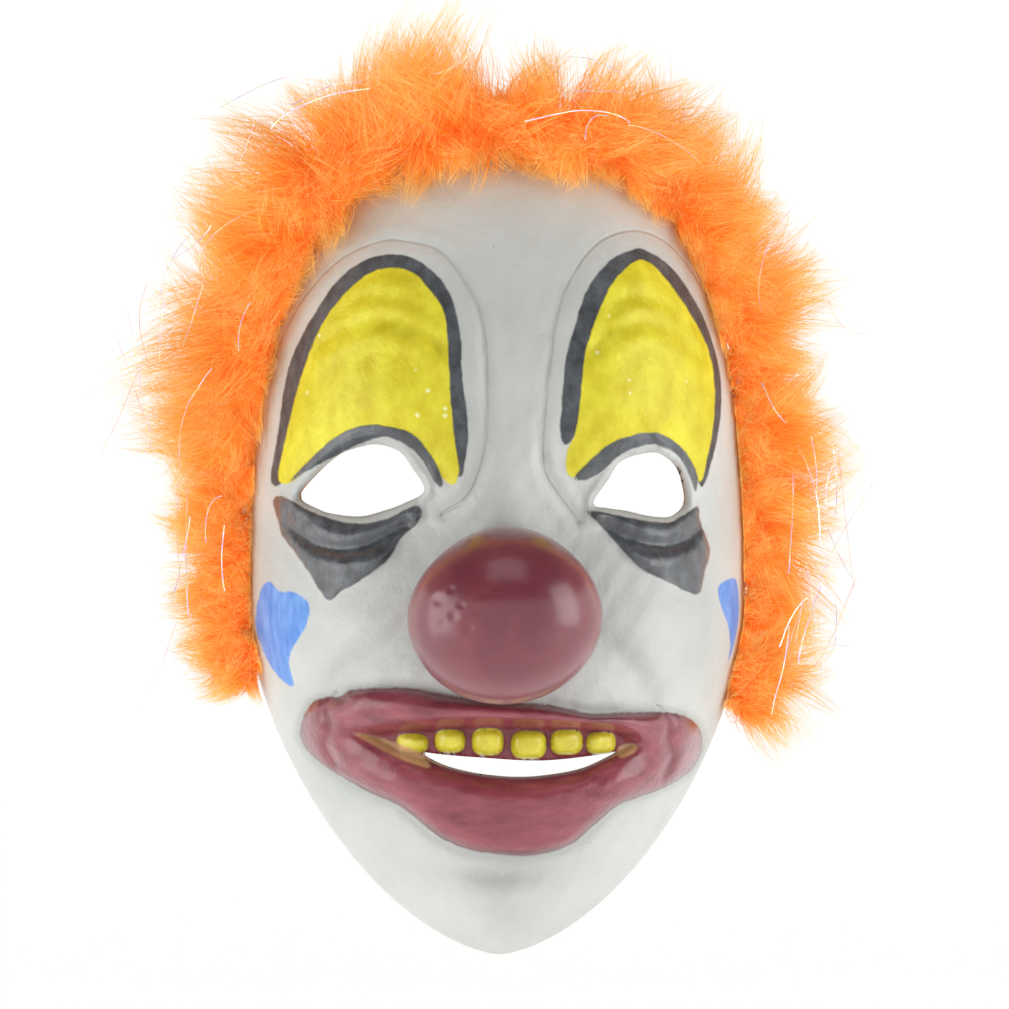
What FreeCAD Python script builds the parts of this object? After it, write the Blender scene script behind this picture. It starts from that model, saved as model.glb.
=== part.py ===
import FreeCAD, Part
import math
import os

# Latex clown mask with a marabou wig trim and an elastic head strap.
# Millimetres. +Z is up, the mask faces -Y, and +X is on the right of someone who looks at the face.
# The origin lies midway between the wearer's pupils.

Vec = FreeCAD.Vector

# Face shell: one slush-cast skin, described round an axis along Y through the nose.
shell_half_width = 73.0  # centre plane to the rim at the temples
crown_height = 104.0  # eye line up to the rim over the forehead
chin_drop = 131.0  # eye line down to the rim under the chin
nose_drop = 34.0  # eye line down to the nose's axis
temple_rim_y = 52.0  # how far back the rim lies beside the temples
crown_rim_y = 22.0  # and over the forehead
chin_rim_y = 6.0  # and under the chin
face_front_y = -30.0  # where the bare form crosses the nose's axis
shell_wall = 2.0
upper_outline_power = 2.7  # squareness of the rim's outline above the nose
lower_outline_power = 1.6  # and below it, towards the chin
profile_power = 2.6  # how flat the front is before the sides turn back
crown_rise_power = 7.0  # how late the rim comes forward over the forehead
jaw_rise_power = 1.8  # and under the jaw
nose_opening_radius = 13.5
nose_seat_radius = 21.0  # flat ring round the opening, which the nose is bonded to
nose_seat_blend = 10.0  # ring in which the flat seat runs out into the face
nose_seat_y = -34.0
surface_step = 0.002  # radians and shares over which the surface's slope is taken

# Relief of the face: centre X (both sides), centre Z, half width, half height, rise.
brow_swell = (36.0, 32.0, 20.0, 30.0, 3.0)
eye_socket = (37.0, -1.0, 24.0, 13.0, -7.0)
nose_bridge = (0.0, -4.0, 12.0, 20.0, 5.0)
cheek = (46.0, -40.0, 20.0, 18.0, 5.0)
muzzle = (0.0, -64.0, 42.0, 18.0, 5.0)
chin_ball = (0.0, -115.0, 20.0, 12.0, 10.0)
chin_crease = (0.0, -105.0, 24.0, 4.0, -2.5)
relief_forms = [brow_swell, eye_socket, nose_bridge, cheek, muzzle, chin_ball, chin_crease]

# Lips: a rolled ring round the mouth, between an upper and a lower curve that meet at the corners.
lip_half_width = 56.0
upper_lip_z = -57.0  # top of the upper lip on the centre plane
upper_lip_fall = 8.5  # how much lower that edge is at the corners
lower_lip_z = -100.0  # bottom of the lower lip on the centre plane
lower_lip_rise = 29.0
lip_rise = 4.0
gum_recess = 4.0

# Holes that the wearer uses.
left_eye_hole = [(-59, -1.5), (-52, 6), (-42, 11.5), (-32, 11)]
left_eye_hole += [(-23, 0), (-31, -6.5), (-43, -8.5), (-54, -6.5)]
right_eye_hole = [(24, -5), (28, 3.5), (36, 9), (44, 8), (50.5, 0), (47, -7.5), (38, -8.5), (29, -7)]
mouth_left_x = -24.5
mouth_right_x = 32.0
mouth_middle_x = 4.0
mouth_corner_z = -74.0
mouth_top_z = -72.6
mouth_bottom_z = -80.6

# Nose: a hollow ball, cast apart and bonded to its seat.
nose_half_width = 26.0
nose_half_height = 23.5
nose_half_depth = 24.0
nose_centre_y = -50.0
nose_wall = 2.0

# Wig trim: a marabou boa, glued along the rim on its twisted cord.
core_radius = 1.8
core_wall_gap = 0.9  # between the cord and the shell, filled by the glue
core_inset = 18.5  # from the rim forward to the cord
trim_right_angle = -22.0  # degrees about the nose's axis, from +X up over the crown
trim_left_angle = 196.0
plume_core_gap = 0.3
plume_gap = 0.4  # between one stretch of plumes and the next
plume_end_tail = 7.0  # bare cord at each end
plume_stretches = [
    ("plumes_right_side", -22.0, 22.0),
    ("plumes_right_temple", 22.0, 62.0),
    ("plumes_crown", 62.0, 118.0),
    ("plumes_left_temple", 118.0, 156.0),
    ("plumes_left_side", 156.0, 196.0),
]
plume_end_reach = 13.0  # cord's centre to the outside of the dense fluff, at the boa's two ends
plume_right_side_reach = 20.0
plume_right_temple_reach = 27.0
plume_crown_reach = 24.0
plume_left_temple_reach = 32.0
plume_left_side_reach = 15.0
plume_reaches = [
    (trim_right_angle, plume_end_reach),
    (-2.0, plume_right_side_reach),
    (44.0, plume_right_temple_reach),
    (88.0, plume_crown_reach),
    (130.0, plume_left_temple_reach),
    (164.0, plume_left_side_reach),
    (trim_left_angle, plume_end_reach),
]
plume_half_spread = 0.92  # half width along the shell, as a share of the reach
plume_shoulder = 0.12  # height of the outline's flat flanks, as a share of the reach
whipping_length = 4.0
whipping_thickness = 0.45
glue_bead_count = 15
glue_bead_radius = 2.3
glue_bead_bite = 0.27  # how far a bead flattens against the shell
glue_bead_offset = 1.035  # from the cord's side forward to the bead's centre
glue_start = 9.0  # degrees from the boa's ends to the first bead
tinsel_count = 26
tinsel_length = 24.0
tinsel_width = 1.0
tinsel_thickness = 0.4
tinsel_bow = 3.0  # rise of a strand's curve over its chord
tinsel_clearance = 0.5
tinsel_slant = 36.9  # degrees between a strand and the boa's run
tinsel_leans = (-48, -10, 28)  # degrees back from straight out, one strand after the other
tinsel_crowding = 1.35  # over 1 puts more of them on the right and over the crown
tinsel_start = 16.0  # degrees from the boa's ends to the first strand

# Head strap: flat elastic, riveted to a thickened boss inside each temple.
rivet_y = temple_rim_y - 8.5
rivet_z = 24.0
boss_radius = 6.6
boss_proud = 0.8  # how far the boss stands off the wall on each face
shank_radius = 1.6
shank_clearance = 0.05
head_radius = 4.6
head_height = 1.6
cap_radius = 4.2
cap_height = 1.4
washer_radius = 6.0
washer_thickness = 0.6
patch_radius = 6.4
patch_thickness = 0.8
swing_gap = 0.3  # each side of the strap's eyelet
strap_width = 12.0
strap_thickness = 1.2
strap_depth = 86.0  # from the rivets back to the middle of the strap
strap_tab_radius = strap_width / 2
eyelet_wall = 0.7
eyelet_flange_radius = 3.8
eyelet_flange_thickness = 0.35


def cubic_knots(count):
    spans = count - 3
    knots = list(range(spans + 1))
    mults = [4] + [1] * (spans - 1) + [4]
    return knots, mults


def ring_knots(count):
    return list(range(count + 1)), [1] * (count + 1)


def clamped_stations(count):
    # where each pole of a clamped cubic belongs on the curve, from 0 to 1
    spans = count - 3
    stations = [0, 1 / 3] + list(range(1, spans)) + [spans - 1 / 3, spans]
    return [station / spans for station in stations]


def ring_surface(rings):
    # a smooth skin over closed rings of poles, open at the first and the last ring
    u_knots, u_mults = cubic_knots(len(rings))
    v_knots, v_mults = ring_knots(len(rings[0]))
    surface = Part.BSplineSurface()
    surface.buildFromPolesMultsKnots(rings, u_mults, v_mults, u_knots, v_knots, False, True, 3, 3)
    return surface


def end_edges(surface):
    first = surface.uIso(surface.UKnotSequence[0]).toShape()
    last = surface.uIso(surface.UKnotSequence[-1]).toShape()
    return first, last


def closed_solid(faces):
    shell = Part.makeShell(faces)
    shell.sewShape()
    solid = Part.makeSolid(Part.Shell(shell.Faces))
    if solid.Volume < 0:
        solid.reverse()
    return solid


def capped_tube(rings):
    surface = ring_surface(rings)
    first, last = end_edges(surface)
    caps = [Part.Face(Part.Wire([edge])) for edge in (first, last)]
    return closed_solid([surface.toShape()] + caps)


def smooth_step(value):
    clipped = min(max(value, 0.0), 1.0)
    return clipped * clipped * (3 - 2 * clipped)


def rim_radius(angle):
    # from the nose's axis to the rim, a superellipse above the nose and another below it
    across = abs(math.cos(angle)) / shell_half_width
    if math.sin(angle) >= 0:
        power = upper_outline_power
        along = math.sin(angle) / (crown_height + nose_drop)
    else:
        power = lower_outline_power
        along = -math.sin(angle) / (chin_drop - nose_drop)
    return (across ** power + along ** power) ** (-1 / power)


def rim_y(angle):
    if math.sin(angle) >= 0:
        share = math.sin(angle) ** crown_rise_power
        return temple_rim_y + (crown_rim_y - temple_rim_y) * share
    share = (-math.sin(angle)) ** jaw_rise_power
    return temple_rim_y + (chin_rim_y - temple_rim_y) * share


def swell(form, x, z):
    centre_x, centre_z, half_width, half_height, rise = form
    across = (abs(x) - centre_x) / half_width
    up = (z - centre_z) / half_height
    return rise * math.exp(-(across * across + up * up))


def lip_form(x, z):
    # a roll that is highest halfway between the lips' outer edge and the gum
    share = (x / lip_half_width) ** 2
    if share >= 1:
        return 0.0
    top = upper_lip_z - upper_lip_fall * share
    bottom = lower_lip_z + lower_lip_rise * share
    middle = (top + bottom) / 2
    half = (top - bottom) / 2
    offset = math.sqrt(share + ((z - middle) / half) ** 2 * (1 - share))
    if offset >= 1:
        return 0.0
    roll = math.sin(math.pi * min(1.0, (1 - offset) / 0.55)) ** 2
    recess = smooth_step((0.55 - offset) / 0.35)
    return lip_rise * roll - gum_recess * recess


def outer_point(angle, reach):
    # reach runs from 0 at the nose's opening to 1 at the rim
    rim = rim_radius(angle)
    radius = nose_opening_radius + (rim - nose_opening_radius) * math.sin(reach * math.pi / 2)
    share = min(radius / rim, 1.0)
    depth = rim_y(angle) - face_front_y
    x = radius * math.cos(angle)
    z = radius * math.sin(angle) - nose_drop
    y = rim_y(angle) - depth * math.sqrt(max(0.0, 1 - share ** profile_power))
    relief = sum(swell(form, x, z) for form in relief_forms) + lip_form(x, z)
    y = y - relief * (1 - share ** 6)
    off_seat = smooth_step((radius - nose_seat_radius) / nose_seat_blend)
    return Vec(x, nose_seat_y + (y - nose_seat_y) * off_seat, z)


def outer_normal(angle, reach):
    step = surface_step
    low = max(reach - step, 0.0)
    high = min(reach + step, 1.0)
    along = outer_point(angle, high) - outer_point(angle, low)
    if reach == 1:
        along = Vec(0, 1, 0)
    around = outer_point(angle + step, reach) - outer_point(angle - step, reach)
    return along.cross(around).normalize()


def reach_at_inset(angle, inset):
    # the reach at which the bare form lies that far in front of the rim
    rim = rim_radius(angle)
    drop = inset / (rim_y(angle) - face_front_y)
    share = (1 - drop * drop) ** (1 / profile_power)
    radius = share * rim
    return math.asin((radius - nose_opening_radius) / (rim - nose_opening_radius)) * 2 / math.pi


def turned(fraction):
    return 2 * math.pi * fraction


def shell_rings(inward):
    ring_count = 44
    around_count = 88
    rings = []
    for reach in clamped_stations(ring_count):
        ring = []
        for index in range(around_count):
            angle = turned(index / around_count)
            point = outer_point(angle, reach)
            ring.append(point - outer_normal(angle, reach) * inward)
        rings.append(ring)
    return rings


def closed_curve(outline, y):
    curve = Part.BSplineCurve()
    curve.interpolate(Points=[Vec(x, y, z) for x, z in outline], PeriodicFlag=True)
    return Part.Face(Part.Wire([curve.toShape()]))


def flank_x(y, z):
    # outside of the shell's side wall at a given depth and height
    x = shell_half_width
    for _ in range(20):
        angle = math.atan2(z + nose_drop, x)
        drop = (rim_y(angle) - y) / (rim_y(angle) - face_front_y)
        radius = (1 - drop * drop) ** (1 / profile_power) * rim_radius(angle)
        x = math.sqrt(radius * radius - (z + nose_drop) ** 2)
    return x


wall_x = flank_x(rivet_y, rivet_z)
boss_outer_x = wall_x + boss_proud
boss_inner_x = wall_x - shell_wall - boss_proud
patch_inner_x = boss_inner_x - patch_thickness
eyelet_outer_x = patch_inner_x - swing_gap
eyelet_length = strap_thickness + 2 * eyelet_flange_thickness
eyelet_inner_x = eyelet_outer_x - eyelet_length
cap_outer_x = eyelet_inner_x - swing_gap
strap_outer_x = eyelet_outer_x - eyelet_flange_thickness


def disc(radius, inner_x, outer_x):
    # a cylinder on the right-hand rivet's axis, between two X positions
    centre = Vec(inner_x, rivet_y, rivet_z)
    return Part.makeCylinder(radius, outer_x - inner_x, centre, Vec(1, 0, 0))


def mirrored(shape):
    return shape.mirror(Vec(0, 0, 0), Vec(1, 0, 0))


def mouth_face(y):
    left = Vec(mouth_left_x, y, mouth_corner_z)
    right = Vec(mouth_right_x, y, mouth_corner_z)
    top = Part.Arc(left, Vec(mouth_middle_x, y, mouth_top_z), right).toShape()
    bottom = Part.Arc(right, Vec(mouth_middle_x, y, mouth_bottom_z), left).toShape()
    return Part.Face(Part.Wire([top, bottom]))


def face_shell():
    outer = ring_surface(shell_rings(0.0))
    inner = ring_surface(shell_rings(shell_wall))
    outer_nose, outer_rim = end_edges(outer)
    inner_nose, inner_rim = end_edges(inner)
    rim = Part.makeRuledSurface(outer_rim, inner_rim)
    opening = Part.makeRuledSurface(outer_nose, inner_nose)
    shell = closed_solid([outer.toShape(), inner.toShape(), rim, opening])
    boss = disc(boss_radius, boss_inner_x, boss_outer_x)
    shell = shell.fuse([boss, mirrored(boss)])
    bore = disc(shank_radius + shank_clearance, boss_inner_x - 1, boss_outer_x + 1)
    front_y = nose_centre_y - nose_half_depth
    through = Vec(0, temple_rim_y - front_y, 0)
    left_eye = closed_curve(left_eye_hole, front_y).extrude(through)
    right_eye = closed_curve(right_eye_hole, front_y).extrude(through)
    mouth = mouth_face(front_y).extrude(through)
    return shell.cut([bore, mirrored(bore), mouth, left_eye, right_eye])


def nose_ball(inward):
    scale = FreeCAD.Matrix()
    scale.scale(nose_half_width - inward, nose_half_depth - inward, nose_half_height - inward)
    ball = Part.makeSphere(1.0).transformGeometry(scale)
    ball.translate(Vec(0, nose_centre_y, -nose_drop))
    return ball


def nose_bulb():
    behind = Part.makeBox(200, 100, 200, Vec(-100, nose_seat_y, -nose_drop - 100))
    return nose_ball(0.0).cut([nose_ball(nose_wall), behind])


def trim_frame(angle):
    # the cord's centre, the way off the shell and the way back along the shell
    reach = reach_at_inset(angle, core_inset)
    off_shell = outer_normal(angle, reach)
    around = outer_point(angle + surface_step, reach) - outer_point(angle - surface_step, reach)
    back = off_shell.cross(around).normalize()
    if back.y < 0:
        back = back * -1
    centre = outer_point(angle, reach) + off_shell * (core_radius + core_wall_gap)
    return centre, off_shell, back


def trim_ring(angle, outline):
    centre, off_shell, back = trim_frame(angle)
    return [centre + off_shell * out + back * along for out, along in outline]


def circle_outline(radius):
    count = 12
    grown = radius * 3 / (2 + math.cos(turned(1 / count)))
    angles = [turned(index / count) for index in range(count)]
    return [(grown * math.cos(angle), grown * math.sin(angle)) for angle in angles]


def trim_tube(first_angle, last_angle, outline_at):
    count = max(8, int(abs(last_angle - first_angle) / 5) + 4)
    rings = []
    for station in clamped_stations(count):
        angle = math.radians(first_angle + (last_angle - first_angle) * station)
        rings.append(trim_ring(angle, outline_at(angle)))
    return capped_tube(rings)


def degrees_per_mm(angle):
    radius = rim_radius(math.radians(angle)) + core_radius + core_wall_gap
    return math.degrees(1 / radius)


def boa_core():
    outline = circle_outline(core_radius)
    return trim_tube(trim_right_angle, trim_left_angle, lambda angle: outline)


def end_whipping(angle, way):
    # thread bound round the bare end of the cord
    outline = circle_outline(core_radius + whipping_thickness)
    start = angle + way * degrees_per_mm(angle) * 1.0
    stop = start + way * degrees_per_mm(angle) * whipping_length
    sleeve = trim_tube(start, stop, lambda at: outline)
    bore = trim_tube(start - way, stop + way, lambda at: circle_outline(core_radius))
    return sleeve.cut(bore)


def plume_reach(angle):
    degrees = math.degrees(angle)
    for (low, low_reach), (high, high_reach) in zip(plume_reaches, plume_reaches[1:]):
        if degrees <= high:
            return low_reach + (high_reach - low_reach) * smooth_step((degrees - low) / (high - low))
    return plume_end_reach


def plume_outline(angle):
    # a half round that lies on the cord, flat side to the shell
    reach = plume_reach(angle)
    spread = reach * plume_half_spread
    inside = core_radius + plume_core_gap
    shoulder = inside + plume_shoulder * reach
    outline = []
    for step in range(9):
        turn = math.pi * (step / 8 - 0.5)
        outline.append((shoulder + (reach - shoulder) * math.cos(turn), spread * math.sin(turn)))
    for share in (1.0, 0.6, 0.2, -0.2, -0.6, -1.0):
        outline.append((inside, spread * share))
    return outline


def plumes(first, last):
    start = first
    stop = last
    if first == trim_right_angle:
        start = first + plume_end_tail * degrees_per_mm(first)
    if last == trim_left_angle:
        stop = last - plume_end_tail * degrees_per_mm(last)
    half_gap = plume_gap / 2 * degrees_per_mm(last)
    return trim_tube(start + half_gap, stop - half_gap, plume_outline)


def glue_beads():
    beads = []
    first = trim_right_angle + glue_start
    last = trim_left_angle - glue_start
    for index in range(glue_bead_count):
        angle = math.radians(first + (last - first) * index / (glue_bead_count - 1))
        centre, off_shell, back = trim_frame(angle)
        lift = glue_bead_radius - core_radius - core_wall_gap - glue_bead_bite
        bead_centre = centre + off_shell * lift - back * (core_radius + glue_bead_offset)
        beads.append(Part.makeSphere(glue_bead_radius, bead_centre))
    return Part.makeCompound(beads)


def tinsel_strand(angle, lean, side):
    # a thin bowed strip that stands off the fluff
    centre, off_shell, back = trim_frame(angle)
    reach = plume_reach(angle)
    outward = (off_shell * math.cos(lean) + back * math.sin(lean)).normalize()
    around = off_shell.cross(back).normalize() * side
    slant = math.radians(tinsel_slant)
    bow = outward * math.cos(slant) - around * math.sin(slant)
    run = around * math.cos(slant) + outward * math.sin(slant)
    root = centre + outward * (reach + tinsel_clearance)
    tip = root + run * tinsel_length
    middle = root + run * (tinsel_length / 2) + bow * tinsel_bow
    thick = bow * tinsel_thickness
    lower = Part.Arc(root, middle, tip).toShape()
    upper = Part.Arc(tip + thick, middle + thick, root + thick).toShape()
    ends = [Part.makeLine(tip, tip + thick), Part.makeLine(root + thick, root)]
    face = Part.Face(Part.Wire([lower, ends[0], upper, ends[1]]))
    return face.extrude(run.cross(bow).normalize() * tinsel_width)


def tinsel_strands():
    strands = []
    first = trim_right_angle + tinsel_start
    last = trim_left_angle - tinsel_start
    for index in range(tinsel_count):
        share = (index / tinsel_count) ** tinsel_crowding
        angle = math.radians(first + (last - first) * share)
        lean = math.radians(tinsel_leans[index % 3])
        side = 1 if index % 2 else -1
        strands.append(tinsel_strand(angle, lean, side))
    return Part.makeCompound(strands)


def rivet_post():
    seat_x = boss_outer_x + washer_thickness
    shank = disc(shank_radius, cap_outer_x, seat_x + 0.2)
    head_ball_radius = (head_radius ** 2 + head_height ** 2) / (2 * head_height)
    ball_centre = Vec(seat_x + head_height - head_ball_radius, rivet_y, rivet_z)
    dome = disc(head_radius * 2, seat_x, seat_x + head_height * 2)
    head = Part.makeSphere(head_ball_radius, ball_centre).common(dome)
    return shank.fuse(head).removeSplitter()


def rivet_cap():
    cap_ball_radius = (cap_radius ** 2 + cap_height ** 2) / (2 * cap_height)
    ball_centre = Vec(cap_outer_x - cap_height + cap_ball_radius, rivet_y, rivet_z)
    dome = disc(cap_radius * 2, cap_outer_x - cap_height * 2, cap_outer_x)
    return Part.makeSphere(cap_ball_radius, ball_centre).common(dome)


def washer():
    outside = disc(washer_radius, boss_outer_x, boss_outer_x + washer_thickness)
    return outside.cut(disc(shank_radius + shank_clearance, boss_outer_x - 1, boss_outer_x + 2))


def strap_patch(shell):
    # soaked in latex, so that it takes the wall's shape where it lies against it
    outside = disc(patch_radius, patch_inner_x, boss_inner_x)
    bore = disc(shank_radius + shank_clearance, patch_inner_x - 1, boss_inner_x + 1)
    return outside.cut([bore, shell])


def strap_eyelet():
    bore = disc(shank_radius + shank_clearance, eyelet_inner_x - 1, eyelet_outer_x + 1)
    barrel = disc(shank_radius + shank_clearance + eyelet_wall, eyelet_inner_x, eyelet_outer_x)
    outer_flange = disc(eyelet_flange_radius, strap_outer_x, eyelet_outer_x)
    inner_flange = disc(eyelet_flange_radius, eyelet_inner_x, eyelet_inner_x + eyelet_flange_thickness)
    return barrel.fuse([outer_flange, inner_flange]).cut(bore).removeSplitter()


def half_ellipse(half_across, half_deep, z):
    # from one rivet back round the head to the other
    centre = Vec(0, rivet_y, z)
    side = Vec(half_across, rivet_y, z)
    back = Vec(0, rivet_y + half_deep, z)
    if half_deep > half_across:
        return Part.ArcOfEllipse(Part.Ellipse(back, side, centre), -math.pi / 2, math.pi / 2).toShape()
    return Part.ArcOfEllipse(Part.Ellipse(side, back, centre), 0, math.pi).toShape()


def elastic_strap():
    low_z = rivet_z - strap_width / 2
    outer = half_ellipse(strap_outer_x, strap_depth, low_z)
    inner = half_ellipse(strap_outer_x - strap_thickness, strap_depth - strap_thickness, low_z)
    ends = []
    for side in (1, -1):
        start = Vec(side * strap_outer_x, rivet_y, low_z)
        stop = Vec(side * (strap_outer_x - strap_thickness), rivet_y, low_z)
        ends.append(Part.makeLine(start, stop))
    flat = Part.Face(Part.Wire(Part.__sortEdges__([outer, inner] + ends)))
    band = flat.extrude(Vec(0, 0, strap_width))
    tab = disc(strap_tab_radius, strap_outer_x - strap_thickness, strap_outer_x)
    hole_radius = shank_radius + shank_clearance + eyelet_wall
    hole = disc(hole_radius, strap_outer_x - strap_thickness - 1, strap_outer_x + 1)
    return band.fuse([tab, mirrored(tab)]).cut([hole, mirrored(hole)]).removeSplitter()


def save(name, shape):
    shape.exportStep("parts/" + name + ".step")


def save_both_sides(name, shape):
    save(name + "_right", shape)
    save(name + "_left", mirrored(shape))


os.makedirs("parts", exist_ok=True)
shell = face_shell()
save("face_shell", shell)
save("nose_bulb", nose_bulb())
save("boa_core", boa_core())
save("end_whipping_right", end_whipping(trim_right_angle, 1))
save("end_whipping_left", end_whipping(trim_left_angle, -1))
for stretch, first_angle, last_angle in plume_stretches:
    save(stretch, plumes(first_angle, last_angle))
save("glue_beads", glue_beads())
save("tinsel_strands", tinsel_strands())
save("elastic_strap", elastic_strap())
save_both_sides("strap_eyelet", strap_eyelet())
save_both_sides("rivet_post", rivet_post())
save_both_sides("rivet_cap", rivet_cap())
save_both_sides("washer", washer())
save_both_sides("strap_patch", strap_patch(shell))
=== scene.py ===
import math

import bpy
import numpy as np
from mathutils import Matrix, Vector


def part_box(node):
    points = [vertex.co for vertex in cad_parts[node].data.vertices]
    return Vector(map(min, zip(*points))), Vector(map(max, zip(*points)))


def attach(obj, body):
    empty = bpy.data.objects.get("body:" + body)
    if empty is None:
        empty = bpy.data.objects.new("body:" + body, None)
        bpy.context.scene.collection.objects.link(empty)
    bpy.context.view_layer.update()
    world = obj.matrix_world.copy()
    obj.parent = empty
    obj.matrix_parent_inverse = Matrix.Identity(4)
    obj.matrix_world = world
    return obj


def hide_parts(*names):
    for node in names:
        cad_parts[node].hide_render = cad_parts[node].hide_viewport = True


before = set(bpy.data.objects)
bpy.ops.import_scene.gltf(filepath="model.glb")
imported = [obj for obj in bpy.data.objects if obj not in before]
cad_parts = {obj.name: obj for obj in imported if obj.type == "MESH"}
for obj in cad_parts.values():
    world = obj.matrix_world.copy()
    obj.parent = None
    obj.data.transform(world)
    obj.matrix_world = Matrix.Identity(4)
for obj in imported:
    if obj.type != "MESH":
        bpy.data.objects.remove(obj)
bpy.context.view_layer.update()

# Latex clown mask: painted face, ball nose, marabou wig trim with tinsel, elastic head strap.
# The face's form is worked out in millimetres and made into meshes in metres.
# +Z is up, the mask faces -Y, and +X is on the right of someone who looks at the face.

mm = 0.001
scene = bpy.context.scene
chance = np.random.default_rng(11)


def addNode(tree, kind, inputs=None, **settings):
    node = tree.nodes.new(kind)
    for name, value in settings.items():
        setattr(node, name, value)
    for key, value in (inputs or {}).items():
        if isinstance(value, bpy.types.NodeSocket):
            tree.links.new(value, node.inputs[key])
        else:
            node.inputs[key].default_value = value
    return node


def linear(hexText):
    channels = [int(hexText[i:i + 2], 16) / 255 for i in (1, 3, 5)]
    return tuple(c / 12.92 if c <= 0.04045 else ((c + 0.055) / 1.055) ** 2.4 for c in channels) + (1.0,)


def newMaterial(name):
    material = bpy.data.materials.new(name)
    material.use_nodes = True
    material.node_tree.nodes.clear()
    return material, material.node_tree


def finishMaterial(tree, shader):
    addNode(tree, "ShaderNodeOutputMaterial", {"Surface": shader.outputs[0]})


def addPiece(name, verts, faces, material, smooth=True):
    mesh = bpy.data.meshes.new(name)
    mesh.from_pydata([tuple(v) for v in verts], [], [tuple(f) for f in faces])
    mesh.materials.append(material)
    if smooth:
        mesh.polygons.foreach_set("use_smooth", [True] * len(mesh.polygons))
    piece = bpy.data.objects.new(name, mesh)
    scene.collection.objects.link(piece)
    return piece


def giveUv(mesh, perLoop, name="OFBake"):
    layer = mesh.uv_layers.new(name=name)
    layer.data.foreach_set("uv", np.asarray(perLoop, np.float32).ravel())


def standFor(piece, slot, *nodes, body="mask"):
    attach(piece, body)
    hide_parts(*nodes)
    return piece


# ---- the face's form

shell = {
    "halfWidth": 73.0,
    "crown": 104.0,
    "chin": 131.0,
    "noseDrop": 34.0,  # the form is described round an axis through the nose
    "templeRimY": 52.0,
    "crownRimY": 22.0,
    "chinRimY": 6.0,
    "frontY": -30.0,
    "wall": 1.8,
    "bossRise": 0.7,  # the wall is thicker round each rivet
    "rivetY": 43.5,
    "rivetZ": 24.0,
    "noseOpening": 13.5,
    "seatRadius": 18.0,
    "seatBlend": 6.0,
    "seatY": -34.0,
    "around": 340,
    "rings": 138,
}

swells = [  # centre X on both sides, centre Z, half width, half height, rise
    (36.0, 32.0, 20.0, 30.0, 3.0),  # brows
    (37.0, -1.0, 24.0, 13.0, -7.0),  # eye sockets
    (0.0, -4.0, 12.0, 20.0, 5.0),  # bridge of the nose
    (46.0, -40.0, 20.0, 18.0, 5.0),  # cheeks
    (0.0, -64.0, 42.0, 18.0, 5.0),  # muzzle
    (0.0, -115.0, 20.0, 12.0, 10.0),  # chin
    (0.0, -105.0, 24.0, 4.0, -2.5),  # crease over the chin
]


def smoothStep(value, low, high):
    share = np.clip((value - low) / (high - low), 0, 1)
    return share * share * (3 - 2 * share)


def rimRadius(angle):
    across = np.abs(np.cos(angle)) / shell["halfWidth"]
    up = np.maximum(np.sin(angle), 0) / (shell["crown"] + shell["noseDrop"])
    down = np.maximum(-np.sin(angle), 0) / (shell["chin"] - shell["noseDrop"])
    upper = (across ** 2.7 + up ** 2.7) ** (-1 / 2.7)
    lower = (across ** 1.6 + down ** 1.6) ** (-1 / 1.6)
    return np.where(np.sin(angle) >= 0, upper, lower)


def rimDepth(angle):
    rise = np.sin(angle)
    crown = (shell["crownRimY"] - shell["templeRimY"]) * np.maximum(rise, 0) ** 7
    jaw = (shell["chinRimY"] - shell["templeRimY"]) * np.maximum(-rise, 0) ** 1.8
    return shell["templeRimY"] + crown + jaw


def bareDepth(x, z):
    angle = np.arctan2(z + shell["noseDrop"], x)
    radius = np.hypot(x, z + shell["noseDrop"])
    share = np.minimum(radius / rimRadius(angle), 1)
    deep = rimDepth(angle)
    y = deep - (deep - shell["frontY"]) * np.sqrt(np.maximum(0, 1 - share ** 2.6))
    return y, share, radius


def skinDepth(x, z, relief=0.0):
    y, share, radius = bareDepth(x, z)
    lift = np.zeros_like(y) + relief
    for centreX, centreZ, halfWidth, halfHeight, rise in swells:
        across = (np.abs(x) - centreX) / halfWidth
        up = (z - centreZ) / halfHeight
        lift += rise * np.exp(-(across * across + up * up))
    y = y - lift * (1 - share ** 6)
    offSeat = smoothStep(radius, shell["seatRadius"], shell["seatRadius"] + shell["seatBlend"])
    return shell["seatY"] + (y - shell["seatY"]) * offSeat


# ---- outlines on the face, in millimetres across and up from between the eyes

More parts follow.
